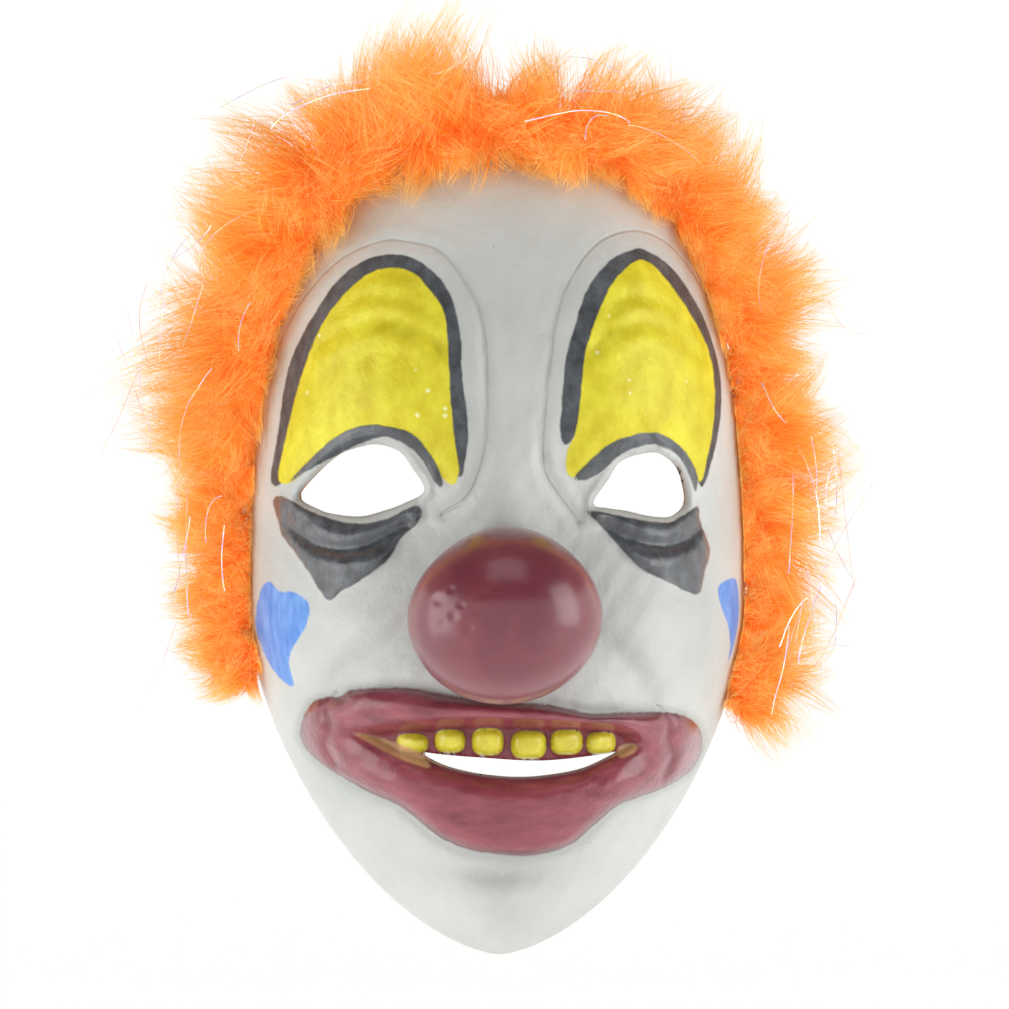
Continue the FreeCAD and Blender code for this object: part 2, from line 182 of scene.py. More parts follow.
outlines = {
    "eyeHoleLeft": [(-57, -2.5), (-52, 3.5), (-45.5, 8.5), (-38.5, 11), (-33.5, 11.5), (-28, 9.5), (-24.5, 5),
                    (-21.3, -1), (-27, -4.5), (-32.5, -6.5), (-38.5, -8), (-45.5, -7.5), (-51, -6)],
    "eyeHoleRight": [(24.8, -4.5), (29, 2), (32.5, 7), (39.5, 9.3), (44, 9), (49, 6), (51.3, 1.5),
                     (51.8, -4.5),
                     (47, -8), (41, -8), (34, -6.5), (29, -5.8)],
    "mouthHole": [(-23, -72.3), (-15, -72.8), (-6, -73.4), (10, -74.3), (24, -73.3), (32.7, -72.3), (28, -75),
                  (20, -77.8), (7, -79.4), (-6, -78.6), (-17, -76)],
    "browLineLeft": [(-64, 1), (-62, 16), (-60, 30), (-57, 39), (-51.5, 48.5), (-45.5, 57), (-38, 62.5),
                     (-31, 64), (-25, 63), (-18.5, 58.5), (-14, 52), (-11.5, 41), (-11, 29), (-9.5, 17),
                     (-10.5, 6), (-13.5, 3), (-30, 14), (-55, 4)],
    "browPaintLeft": [(-62, 2.5), (-60, 13), (-56.5, 27), (-53.5, 36), (-49, 46), (-42.5, 54), (-36, 59),
                      (-30, 60.3), (-24, 58.5), (-20, 54), (-16, 47.5), (-15, 39), (-14.5, 29), (-13.5, 15),
                      (-12, 5.5), (-13, 1), (-16, 2), (-24, 12), (-38, 15), (-50, 8), (-58, 1.5)],
    "lidLeft": [(-59, 1.5), (-47, 12.7), (-38, 16.7), (-29, 16), (-24, 13.8), (-18.5, 7), (-16.3, 0.5),
                (-18.5, 1), (-22.5, 8), (-27.5, 12), (-33.5, 14), (-39, 13.5), (-45.5, 10.8), (-53, 5)],
    "underLeft": [(-63.5, -4.5), (-62, -2.5), (-57.5, -4), (-53, -6.5), (-45, -9.3), (-38, -10), (-31, -8.5),
                  (-24.5, -5.3), (-22, -6.5), (-23, -9.5), (-28, -14.5), (-31, -19.5), (-38, -25), (-44,
                                                                                                    -28.5),
                  (-47, -31), (-49.5, -29), (-53, -23.5), (-57.5, -17.5), (-61, -13), (-62, -9)],
    "tearLeft": [(-64.5, -26.5), (-61.5, -29), (-57.5, -29), (-54, -31), (-52.7, -33.5), (-54, -38.5),
                 (-57.3, -44), (-58.8, -48.5), (-57.5, -55), (-60, -54.7), (-64.3, -50.5), (-67.3, -44.5),
                 (-69, -39.5), (-68.5, -34), (-67, -28.5)],
    "browLineRight": [(17.5, 11.5), (15.5, 15), (16, 23), (17, 34), (19, 41.5), (23, 53.5), (29.5, 62),
                      (36, 65.5),
                      (39.5, 66), (45, 63.5), (51, 58), (57.5, 48), (61, 39), (62.8, 30), (62, 18), (59, 6.5),
                      (56.5, 0.5), (54, 3), (40, 25), (25, 20)],
    "browPaintRight": [(17.5, 3.5), (17.5, 10), (19.5, 14), (21, 23), (22, 34), (24, 41.5), (27.5, 50.5),
                       (31.5, 57.5), (38.5, 63), (44, 60), (50, 53), (55.5, 45), (59, 38), (60.5, 29), (60,
                                                                                                        18.5),
                       (58, 9), (55.5, 1.5), (50, 9), (40, 13), (28, 8), (21, 3)],
    "lidRight": [(19.5, 2.5), (25, 8.2), (31, 12.6), (40.5, 15), (47, 13), (52, 8.5), (55, 2.5), (54, -1.5),
                 (52.8, 2), (49.5, 8), (44.5, 11), (39.5, 11.6), (32.5, 9), (27.5, 4.5), (23, 2)],
    "underRight": [(23, -6.5), (32.5, -8), (41, -9.5), (47, -9.5), (54.5, -5.5), (55.5, -9.5), (58.3, -17.5),
                   (56.6, -23.5), (54.3, -29.6), (46.5, -26.5), (37.5, -22), (31, -15.3), (26.5, -10.3)],
    "tearRight": [(66, -25.6), (61.2, -27.6), (61.7, -32.7), (64.5, -39), (65.5, -44.6), (65, -49.7),
                  (64.2, -54), (69, -51.4), (72.4, -46), (73.2, -38), (70, -31), (67.9, -27)],
    "lips": [(-55.5, -66), (-52.5, -60), (-48.5, -58), (-44.5, -57.5), (-41, -55.5), (-31.5, -54.5),
             (-22.5, -55),
             (-15, -56.5), (-1, -58), (12.5, -59), (23.5, -61.5), (35, -61.5), (44.5, -62), (51,
                                                                                             -63.5), (55.5,
                                                                                                      -67),
             (57.5, -72.5), (57, -76), (53.5, -80), (45.5, -83.5), (33, -87), (25.5, -92.5), (18.5,
                                                                                              -98), (8.5,
                                                                                                     -100.5),
             (-1, -100), (-10, -98.5), (-18, -95), (-27.5, -87.5), (-38, -83), (-51, -76), (-55.5, -71)],
    "gum": [(-41, -67), (-29, -65), (-10, -63.6), (7, -63.8), (22, -64.4), (32, -65.8), (38, -70.5),
            (33, -74),
            (20, -79), (7, -80.8), (-6, -80), (-18, -77.4), (-29, -73.5), (-36, -70)],
    "bareCornerLeft": [(-40.5, -67.2), (-33, -68.6), (-24, -71.4), (-21, -74), (-20, -76.3), (-28, -73.7),
                       (-36, -70)],
    "bareCornerRight": [(32, -71), (36, -70.3), (37, -71.8), (34, -73.5), (31.5, -73.6)],
}

creases = {
    "contourLeft": [(-66, 12), (-65.5, 23), (-63, 38), (-55.5, 52.5), (-44.5, 63.5), (-33.5, 68), (-27.5, 68),
                    (-16.5, 64.5), (-8, 52), (-5, 40), (-4.5, 24), (-5, 9.5), (-9, -2), (-16, -7)],
    "contourRight": [(20, -9), (14, -1), (11.5, 3), (10.5, 10), (12.5, 31), (15.5, 49.5), (21, 61),
                     (28, 68.5),
                     (38, 71.5), (48, 68), (57, 58), (64, 46), (67, 32), (66, 14)],
    "furrowHighLeft": [(-44.5, 48), (-38, 51.5), (-32.5, 52), (-26, 50), (-20, 46.5)],
    "furrowLowLeft": [(-52.5, 38.5), (-44.5, 43), (-38, 45), (-31, 45.7), (-21, 41.7), (-17, 37.6)],
    "furrowHighRight": [(27, 46), (33, 50.5), (40, 52), (47, 49.5), (52, 45)],
    "furrowLowRight": [(25, 38), (31, 43), (39, 45.5), (47, 43.5), (55, 37)],
    "bagLeft": [(-59.5, -10), (-52, -15.2), (-45, -17), (-38, -16.2), (-31, -13), (-26, -10.5)],
    "bagRight": [(28, -11), (36, -14.5), (44, -16), (51, -14.5), (56, -11)],
    "cornerLeft": [(-46, -56.5), (-48.3, -61), (-47.5, -66), (-48.5, -71), (-46, -76)],
    "cornerRight": [(43.5, -60.5), (46.5, -64.5), (46, -69.5), (47.5, -74.5), (45, -80)],
    "cheekLeft": [(-22, -39), (-29, -41.5), (-35, -45), (-43, -51), (-52, -57.5)],
    "cheekRight": [(22, -40), (29, -44), (35, -50), (39, -56)],
}


def smoothLine(points, closed, perSpan=8):
    # a smooth line through the points
    spots = np.array(points, float)
    if closed:
        before, after, beyond = np.roll(spots, 1, 0), np.roll(spots, -1, 0), np.roll(spots, -2, 0)
    else:
        before = np.vstack([spots[:1], spots[:-2]])
        after = spots[1:]
        beyond = np.vstack([spots[2:], spots[-1:]])
        last, spots = spots[-1:], spots[:-1]
    t = (np.arange(perSpan) / perSpan)[None, :, None]
    before, here, after, beyond = (s[:, None, :] for s in (before, spots, after, beyond))
    line = 0.5 * (2 * here + (after - before) * t + (2 * before - 5 * here + 4 * after - beyond) * t ** 2
                  + (3 * here - before - 3 * after + beyond) * t ** 3)
    line = line.reshape(-1, 2)
    return line if closed else np.vstack([line, last])


def nearestOn(x, z, line, closed):
    # squared distance, nearest point, whether each place is inside a closed line, and the side it is on
    start = line if closed else line[:-1]
    stop = np.roll(line, -1, 0) if closed else line[1:]
    nearest = np.full(x.shape, 1e9)
    spotX, spotZ = np.zeros_like(x), np.zeros_like(z)
    inside, side = np.zeros(x.shape, bool), np.ones_like(x)
    for (ax, az), (bx, bz) in zip(start, stop):
        dx, dz = bx - ax, bz - az
        along = np.clip(((x - ax) * dx + (z - az) * dz) / max(dx * dx + dz * dz, 1e-9), 0, 1)
        px, pz = ax + along * dx, az + along * dz
        gap = (x - px) ** 2 + (z - pz) ** 2
        closer = gap < nearest
        nearest = np.where(closer, gap, nearest)
        spotX, spotZ = np.where(closer, px, spotX), np.where(closer, pz, spotZ)
        side = np.where(closer, np.sign(dx * (z - az) - dz * (x - ax) + 1e-9), side)
        if closed and dz:
            inside ^= ((az > z) != (bz > z)) & (x < dx * (z - az) / dz + ax)
    return nearest, spotX, spotZ, inside, side


def howFarIn(x, z, points, closed=True, far=9.0):
    # millimetres inside a closed outline, negative outside, or away from an open line
    line = smoothLine(points, closed)
    low, high = line.min(0) - far, line.max(0) + far
    near = (x > low[0]) & (x < high[0]) & (z > low[1]) & (z < high[1])
    distance = np.full(x.shape, -far if closed else far)
    gap, _, _, inside, side = nearestOn(x[near], z[near], line, closed)
    gap = np.minimum(np.sqrt(gap), far)
    distance[near] = np.where(inside, gap, -gap) if closed else gap * side
    return distance


teeth = [  # centre, half width and half height
    (-24.6, -69.7, 4.3, 2.7),
    (-14.4, -68.9, 4.1, 3.2),
    (-4.2, -69.0, 4.3, 3.8),
    (6.9, -69.9, 4.8, 3.9),
    (17.3, -69.3, 4.4, 3.5),
    (26.8, -69.8, 4.1, 3.1),
]


def measureFace(x, z):
    far = {name: howFarIn(x, z, points) for name, points in outlines.items()}
    line = {name: howFarIn(x, z, points, closed=False) for name, points in creases.items()}
    tooth = np.full(x.shape, -5.0)
    for centreX, centreZ, halfWidth, halfHeight in teeth:
        bulk = (np.abs((x - centreX) / halfWidth) ** 3 + np.abs((z - centreZ) / halfHeight) ** 3) ** (1 / 3)
        tooth = np.maximum(tooth, (1 - bulk) * halfHeight)
    far["teeth"] = tooth
    far["tearRight"] = roundTheCheek(x, z, far["tearRight"])
    far["eyeHole"] = np.maximum(far["eyeHoleLeft"], far["eyeHoleRight"])
    far["hole"] = np.maximum(far["eyeHole"], far["mouthHole"])
    return far, line


def roundTheCheek(x, z, field):
    # seen from the front the right tear runs off the cheek's edge, so its far side is set by depth
    depth = skinDepth(x, z)
    farSide = 20.0 - 0.03 * (z + 36) ** 2
    return np.minimum(field, (farSide - depth) * 0.6)


def groove(distance, width):
    return np.exp(-(distance / width) ** 2)


def faceRelief(x, z, far, line):
    # fine forms that stand proud of the form, in millimetres
    lift = np.zeros_like(x)
    lip, gum = far["lips"], far["gum"]
    across = np.clip(lip / np.maximum(lip - gum, 0.01), 0, 1)
    lower = smoothStep(-z - 0.06 * np.abs(x), 72.0, 78.0)
    roll = np.sin(np.pi * across ** (1 - 0.2 * lower)) ** 0.9
    lift += np.where(gum < 0, (4.4 + 1.6 * lower) * roll * (lip > 0), 0)
    lift -= 3.6 * smoothStep(gum, 0.0, 2.4) - 0.9 * smoothStep(lip, 0.0, 1.2)
    lift -= 0.9 * groove(lip + 0.8, 1.6) * (lip < 0)
    for cornerX, cornerZ in ((-51.5, -66.0), (52.5, -71.0)):
        lift += 2.6 * np.exp(-(((x - cornerX) / 5) ** 2 + ((z - cornerZ) / 7) ** 2))
    for side in ("Left", "Right"):
        lift -= 2.4 * groove(line["corner" + side], 1.7) * smoothStep(lip, -1.0, 2.0)
    lift += 3.6 * np.sqrt(np.clip(far["teeth"] / 1.6, 0, 1))
    for side in ("Left", "Right"):
        painted = far["browPaint" + side]
        contour = np.abs(line["contour" + side])
        lift += 0.5 * smoothStep(far["browLine" + side], -0.5, 0.7)
        lift += 1.1 * smoothStep(painted, 0.5, 8)
        lift += 0.6 * smoothStep(contour * np.sign(far["browLine" + side] + 5.8), -1.2, 1.2) - 0.3
        lift -= 0.7 * groove(contour, 1.5) - 0.5 * groove(contour - 3.0, 1.6)
        for level, strength in (("High", 1.0), ("Low", 1.3)):
            fold = np.abs(line["furrow" + level + side])
            lift += strength * (0.8 * groove(fold - 4.5, 2.6) - 1.7 * groove(fold,
                                                                             2.2)) * smoothStep(painted, 0.5,
                                                                                                3)
        bag = np.abs(line["bag" + side])
        lift += 2.2 * groove(bag - 4.2, 3.4) * smoothStep(far["under" + side], -1.5, 2.0)
        lift -= 1.2 * groove(bag, 1.5)
        lift += 0.5 * smoothStep(far["under" + side], -0.6, 0.8)
        lift += 1.0 * smoothStep(far["lid" + side], -0.8, 1.6)
        lift += 0.4 * smoothStep(far["tear" + side], -0.5, 0.6)
        cheek = np.abs(line["cheek" + side])
        lift -= 2.0 * groove(cheek, 4.0)
        lift += 1.5 * groove(cheek - 9.0, 5.0)
    rolled = -far["eyeHole"]
    lift += 1.3 * groove(rolled - 1.3, 1.0) * (rolled > -0.5) - 0.5 * groove(rolled, 0.6)
    waver = np.sin(x * 0.31 + z * 0.17) * np.sin(z * 0.23 - x * 0.11) + 0.6 * np.sin(x * 0.83 - z * 0.57)
    lift += 0.14 * waver
    lift += 1.4 * np.exp(-(((x + 26) / 7) ** 2 + ((z + 119) / 5) ** 2))  # the skin flares at the jaw's rim
    return lift


print("face form ready")

# ---- acrylic paint on latex: satin white, brushed colours with wavering edges, bare tan latex inside, painted shade with a little grime in the creases


def layPaint(tree, under, over, field, waver, softness=0.25):
    # covers the colour under it where the field is positive, with a brush's uneven edge
    distance = addNode(tree, "ShaderNodeAttribute", attribute_name=field).outputs["Fac"]
    edge = addNode(tree, "ShaderNodeMath", {0: distance, 1: waver}, operation="ADD").outputs[0]
    cover = addNode(tree, "ShaderNodeMapRange", {"Value": edge, "From Min": -softness, "From Max": softness})
    mixed = addNode(tree, "ShaderNodeMix", {0: cover.outputs[0], 6: under, 7: over}, data_type="RGBA")
    return mixed.outputs[2], cover.outputs[0]


def brushed(tree, place, dark, light, scale, stretch):
    # colour laid on in strokes, thicker and thinner along the brush's way
    way = addNode(tree, "ShaderNodeMapping", {"Vector": place, "Scale": stretch})
    strokes = addNode(tree, "ShaderNodeTexNoise", {"Vector": way.outputs[0], "Scale": scale, "Detail": 6.0,
                                                   "Roughness": 0.62})
    ramp = addNode(tree, "ShaderNodeMapRange", {"Value": strokes.outputs[0], "From Min": 0.34,
                                                "From Max": 0.68})
    mixed = addNode(tree, "ShaderNodeMix", {0: ramp.outputs[0], 6: linear(dark), 7: linear(light)},
                    data_type="RGBA")
    return mixed.outputs[2], strokes.outputs[0]


def paintedLatex():
    material, tree = newMaterial("acrylicPaintOnLatex")
    place = addNode(tree, "ShaderNodeTexCoord").outputs["Object"]
    cloud = addNode(tree, "ShaderNodeTexNoise",
                    {"Vector": place, "Scale": 28.0, "Detail": 4.0})  # 36 mm patches
    tone = addNode(tree, "ShaderNodeMapRange", {"Value": cloud.outputs[0], "From Min": 0.3, "From Max": 0.7})
    white = addNode(tree, "ShaderNodeMix", {0: tone.outputs[0], 6: linear("#BABDBA"), 7: linear("#CDCFCC")},
                    data_type="RGBA").outputs[2]
    grain = addNode(tree, "ShaderNodeTexNoise",
                    {"Vector": place, "Scale": 900.0, "Detail": 5.0})  # 1.1 mm grain
    specks = addNode(tree, "ShaderNodeTexVoronoi", {"Vector": place, "Scale": 160.0})  # a speck each 6 mm
    speckSize = addNode(tree, "ShaderNodeMapRange", {"Value": specks.outputs["Distance"], "From Min": 0.05,
                                                     "From Max": 0.03})
    rare = addNode(tree, "ShaderNodeMath", {0: specks.outputs["Color"], 1: 0.82}, operation="GREATER_THAN")
    speckCover = addNode(tree, "ShaderNodeMath", {0: speckSize.outputs[0], 1: rare.outputs[0]},
                         operation="MULTIPLY")
    white = addNode(tree, "ShaderNodeMix", {0: speckCover.outputs[0], 6: white, 7: linear("#9C9284")},
                    data_type="RGBA").outputs[2]
    # painted shade with a little grime: the white turns grey and darker along the contour and mouth-corner
    # creases, round the lips' edge and in the gum's recess
    fold = addNode(tree, "ShaderNodeAttribute", attribute_name="fold").outputs["Fac"]
    foldGap = addNode(tree, "ShaderNodeAttribute", attribute_name="foldGap").outputs["Fac"]
    fold = addNode(tree, "ShaderNodeMath", {0: fold}, operation="ABSOLUTE").outputs[0]
    nearFold = addNode(tree, "ShaderNodeMapRange", {"Value": foldGap, "From Min": 1.9, "From Max": 1.2})
    line = addNode(tree, "ShaderNodeMapRange", {"Value": fold, "From Min": 0.75, "From Max": 0.05},
                   interpolation_type="SMOOTHSTEP")
    line = addNode(tree, "ShaderNodeMath", {0: line.outputs[0], 1: nearFold.outputs[0]},
                   operation="MULTIPLY").outputs[0]
    shadeAndDirt = addNode(tree, "ShaderNodeAttribute", attribute_name="creaseShadeAndGrime").outputs["Fac"]
    shadeAndDirt = addNode(tree, "ShaderNodeMath", {0: line, 1: 0.14, 2: shadeAndDirt}, operation="MULTIPLY_ADD",
                   use_clamp=True).outputs[0]
    shadeAndDirtCover = addNode(tree, "ShaderNodeMath", {0: shadeAndDirt, 1: 0.5}, operation="MULTIPLY")
    white = addNode(tree, "ShaderNodeMix", {0: shadeAndDirtCover.outputs[0], 6: white, 7: linear("#A5A39C")},
                    data_type="RGBA").outputs[2]
    wobble = addNode(tree, "ShaderNodeTexNoise",
                     {"Vector": place, "Scale": 340.0, "Detail": 3.0})  # 3 mm waver
    waver = addNode(tree, "ShaderNodeMapRange", {"Value": wobble.outputs[0], "From Min": 0.0, "From Max": 1.0,
                                                 "To Min": -0.4, "To Max": 0.4}).outputs[0]
    black, blackStrokes = brushed(tree, place, "#36393D", "#5A5E63", 260.0, (1.0, 1.0, 0.8))
    yellow, yellowStrokes = brushed(tree, place, "#D0C012", "#E8DE34", 130.0, (1.0, 1.0, 0.8))
    blue = brushed(tree, place, "#4580D6", "#78A9EA", 220.0, (1.3, 1.0, 0.5))[0]
    red, redStrokes = brushed(tree, place, "#782B38", "#9C4A55", 150.0, (0.4, 1.0, 1.3))
    lipEdge = addNode(tree, "ShaderNodeAttribute", attribute_name="lip").outputs["Fac"]
    lipEdge = addNode(tree, "ShaderNodeMapRange", {"Value": lipEdge, "From Min": 0.2, "From Max": 2.4,
                                                   "To Min": 0.62, "To Max": 1.0}).outputs[0]
    red = addNode(tree, "ShaderNodeMix", {0: 1.0, 6: red, 7: lipEdge}, data_type="RGBA",
                  blend_type="MULTIPLY").outputs[2]
    ivory = brushed(tree, place, "#C2B41C", "#DDD236", 160.0, (1.0, 1.0, 0.8))[0]
    bare = brushed(tree, place, "#C18F60", "#D6AF82", 60.0, (1.0, 1.0, 1.0))[0]
    crumbs = addNode(tree, "ShaderNodeTexVoronoi",
                     {"Vector": place, "Scale": 260.0})  # white crumbs in the yellow
    crumbSize = addNode(tree, "ShaderNodeMath", {0: grain.outputs[0], 1: 0.3, 2: crumbs.outputs["Distance"]},
                        operation="MULTIPLY_ADD")
    crumb = addNode(tree, "ShaderNodeMapRange",
                    {"Value": crumbSize.outputs[0], "From Min": 0.36, "From Max": 0.26})
    some = addNode(tree, "ShaderNodeMath", {0: crumbs.outputs["Color"], 1: 0.8}, operation="GREATER_THAN")
    crumbCover = addNode(tree, "ShaderNodeMath", {0: crumb.outputs[0], 1: some.outputs[0]},
                         operation="MULTIPLY")
    yellow = addNode(tree, "ShaderNodeMix", {0: crumbCover.outputs[0], 6: yellow, 7: linear("#F3EFA8")},
                     data_type="RGBA").outputs[2]
    colour, _ = layPaint(tree, white, black, "browLine", waver)
    colour, yellowCover = layPaint(tree, colour, yellow, "browPaint", waver)
    colour, blackCover = layPaint(tree, colour, black, "eyeLine", waver)
    colour = layPaint(tree, colour, blue, "tear", waver)[0]
    colour, redCover = layPaint(tree, colour, red, "lip", waver)
    colour, _ = layPaint(tree, colour, ivory, "tooth", 0.0, 0.12)
    colour, _ = layPaint(tree, colour, bare, "bareSkin", waver, 0.4)
    # painted shade with a little grime: every colour darkens in the creases and the gum's recess
    shade = addNode(tree, "ShaderNodeMapRange", {"Value": shadeAndDirt, "To Min": 1.0, "To Max": 0.72})
    colour = addNode(tree, "ShaderNodeMix", {0: 1.0, 6: colour, 7: shade.outputs[0]}, data_type="RGBA",
                     blend_type="MULTIPLY").outputs[2]
    glossier = addNode(tree, "ShaderNodeMath", {0: blackCover, 1: redCover}, operation="MAXIMUM").outputs[0]
    rough = addNode(tree, "ShaderNodeMapRange",
                    {"Value": glossier, "To Min": 0.42, "To Max": 0.24}).outputs[0]
    roughGrain = addNode(tree, "ShaderNodeMath", {0: grain.outputs[0], 1: 0.16, 2: rough},
                         operation="MULTIPLY_ADD").outputs[0]
    heights = addNode(tree, "ShaderNodeMath", {0: yellowStrokes, 1: yellowCover},
                      operation="MULTIPLY").outputs[0]
    heights = addNode(tree, "ShaderNodeMath", {0: redStrokes, 1: redCover, 2: heights},
                      operation="MULTIPLY_ADD").outputs[0]
    heights = addNode(tree, "ShaderNodeMath", {0: blackStrokes, 1: blackCover, 2: heights},
                      operation="MULTIPLY_ADD").outputs[0]
    heights = addNode(tree, "ShaderNodeMath", {0: grain.outputs[0], 1: 0.35, 2: heights},
                      operation="MULTIPLY_ADD").outputs[0]
    casting = addNode(tree, "ShaderNodeTexNoise",
                      {"Vector": place, "Scale": 230.0, "Detail": 3.0})  # 4 mm lumps
    heights = addNode(tree, "ShaderNodeMath", {0: casting.outputs[0], 1: 1.4, 2: heights},
                      operation="MULTIPLY_ADD").outputs[0]
    bump = addNode(tree, "ShaderNodeBump", {"Height": heights, "Strength": 0.5, "Distance": 0.0007})
    bump = addNode(tree, "ShaderNodeBump", {"Height": line, "Strength": 0.8, "Distance": 0.0004,
                                            "Normal": bump.outputs[0]}, invert=True)
    # less coat where the painted shade and grime lie
    clearOfShadeAndDirt = addNode(tree, "ShaderNodeMath", {0: 1.0, 1: shadeAndDirt}, operation="SUBTRACT").outputs[0]
    glossier = addNode(tree, "ShaderNodeMath", {0: glossier, 1: clearOfShadeAndDirt}, operation="MULTIPLY").outputs[0]
    shader = addNode(tree, "ShaderNodeBsdfPrincipled", {
        "Base Color": colour, "Roughness": roughGrain, "Normal": bump.outputs[0], "IOR": 1.5,
        "Specular IOR Level": 0.45, "Coat Weight": glossier, "Coat Roughness": 0.25, "Coat IOR": 1.35,
        "Subsurface Weight": 0.06, "Subsurface Radius": (0.004, 0.003, 0.0025),
        "Subsurface Scale": 1.0})
    finishMaterial(tree, shader)
    return material


# ---- the latex face


def buildShell(material):
    around, rings = shell["around"], shell["rings"]
    angle, reach = np.meshgrid(2 * np.pi * np.arange(around) / around, np.linspace(0, 1, rings))
    rim = rimRadius(angle)
    radius = shell["noseOpening"] + (rim - shell["noseOpening"]) * np.sin(reach * np.pi / 2)
    x, z = radius * np.cos(angle), radius * np.sin(angle) - shell["noseDrop"]
    index = np.arange(rings * around).reshape(rings, around)
    beside = np.roll(index, -1, 1)
    quads = np.stack([index[:-1], index[1:], beside[1:], beside[:-1]], -1).reshape(-1, 4)
    x, z = x.ravel(), z.ravel()
    for name in ("eyeHoleLeft", "eyeHoleRight", "mouthHole"):
        line = smoothLine(outlines[name], True)
        inside = howFarIn(x, z, outlines[name]) > 0
        removed = inside[quads].sum(1) >= 3
        edge = np.intersect1d(quads[removed], quads[~removed])
        _, x[edge], z[edge], _, _ = nearestOn(x[edge], z[edge], line, True)
        quads = quads[~removed]
    far, line = measureFace(x, z)
    lift = faceRelief(x, z, far, line)
    grid = np.stack([x, skinDepth(x, z), z], -1).reshape(rings, around, 3)
    outward = np.cross(np.gradient(grid, axis=0), np.roll(grid, -1, 1) - np.roll(grid, 1, 1)).reshape(-1, 3)
    outward /= np.linalg.norm(outward, axis=1, keepdims=True)
    outer = np.stack([x, skinDepth(x, z, lift), z], -1)
    inner = outer - outward * shell["wall"]
    boss = shell["bossRise"] * (1 - smoothStep(np.hypot(outer[:, 1] - shell["rivetY"], z - shell["rivetZ"]),
                                               6.2, 7.6))
    outer += outward * boss[:, None]
    inner -= outward * boss[:, None]
    count = len(outer)
    edges = {}
    for a, b, c, d in quads:
        for pair in ((a, b), (b, c), (c, d), (d, a)):
            edges[pair] = True
    open_ = np.array([pair for pair in edges if (pair[1], pair[0]) not in edges])
    walls = np.stack([open_[:, 1], open_[:, 0], open_[:, 0] + count, open_[:, 1] + count], -1)
    spread = 0.12 + 0.88 * reach.ravel()
    turn = angle.ravel()
    disc = np.stack([spread * np.cos(turn), spread * np.sin(turn)], -1)
    uv = np.vstack([disc * 0.335 + (0.345, 0.5), disc * 0.15 + (0.84, 0.5)])
    run = uv[open_[:, 1]] - uv[open_[:, 0]]
    aside = np.stack([run[:, 1], -run[:, 0]], -1) / np.linalg.norm(run, axis=1, keepdims=True) * 0.003
    wallUv = np.stack([uv[open_[:, 1]], uv[open_[:, 0]], uv[open_[:, 0]] + aside, uv[open_[:, 1]] + aside], 1)
    faces = np.vstack([quads, quads[:, ::-1] + count, walls])
    loops = np.vstack([uv[quads].reshape(-1, 2), uv[quads[:, ::-1] + count].reshape(-1, 2),
                       wallUv.reshape(-1, 2)])
    used, faces = np.unique(faces, return_inverse=True)
    faces = faces.reshape(-1, 4)
    piece = addPiece("latexFace", np.vstack([outer, inner])[used] * mm, faces, material)
    giveUv(piece.data, loops)
    folds = [line[kind + side] for side in ("Left", "Right") for kind in ("contour", "corner")]
    nearestFold = np.argmin(np.abs(folds), axis=0)
    fold = np.take_along_axis(np.array(folds), nearestFold[None], 0)[0]
    # painted shade with a little grime round the lips' edge and in the gum's recess beside the teeth
    creaseShadeAndGrime = 0.4 * groove(far["lips"] + 0.6, 1.2) + 0.9 * smoothStep(far["gum"], 0.2,
                                                                    1.8) * (far["teeth"] < 0.3)
    fields = {
        "browLine": np.maximum(far["browLineLeft"], far["browLineRight"]),
        "browPaint": np.maximum(far["browPaintLeft"], far["browPaintRight"]),
        "eyeLine": np.maximum.reduce([far[n + s] for n in ("lid", "under") for s in ("Left", "Right")]),
        "tear": np.maximum(far["tearLeft"], far["tearRight"]),
        "lip": far["lips"],
        "tooth": far["teeth"],
        "bareSkin": np.maximum(far["bareCornerLeft"], far["bareCornerRight"]),
        "creaseShadeAndGrime": np.clip(creaseShadeAndGrime, 0, 1),
        "fold": fold,
        "foldGap": np.abs(fold),
    }
    insideValue = {"bareSkin": 5.0, "creaseShadeAndGrime": 0.0, "fold": 9.0, "foldGap": 9.0}
    for name, values in fields.items():
        layer = piece.data.attributes.new(name, "FLOAT", "POINT")
        lining = np.full(count, insideValue.get(name, -5.0))
        layer.data.foreach_set("value", np.concatenate([values, lining])[used].astype(np.float32))
    return standFor(piece, "painted_latex", "face_shell")


paint = paintedLatex()
buildShell(paint)
print("latex face built")

# ---- the ball nose, a casting of its own with bubbles in its skin

nose = {
    "halfWidth": 26.0,
    "halfHeight": 23.7,
    "halfDepth": 24.0,
    "centreY": -50.0,
    "centreZ": -34.3,
    "wall": 2.0,
    "around": 160,
    "rings": 84,
    "bubbles": [(-18, -30, 1.5), (-14, -34, 1.2), (-12, -31, 0.9), (-17, -36, 1.0), (-10, -37, 1.3),
                (-14.5, -27, 0.8),
                (-8, -33, 0.7), (-6, -28, 0.6)],  # X, Z and radius
}


def noseSurface(slant, turn, inward):
    across = (nose["halfWidth"] - inward) * np.sin(slant) * np.cos(turn)
    up = (nose["halfHeight"] - inward) * np.sin(slant) * np.sin(turn)
    y = nose["centreY"] - (nose["halfDepth"] - inward) * np.cos(slant)
    narrow = 1 - 0.13 * np.clip(up / nose["halfHeight"], 0, 1) ** 1.6
    return across * narrow + 0.6 * up / nose["halfHeight"], y, nose["centreZ"] + up


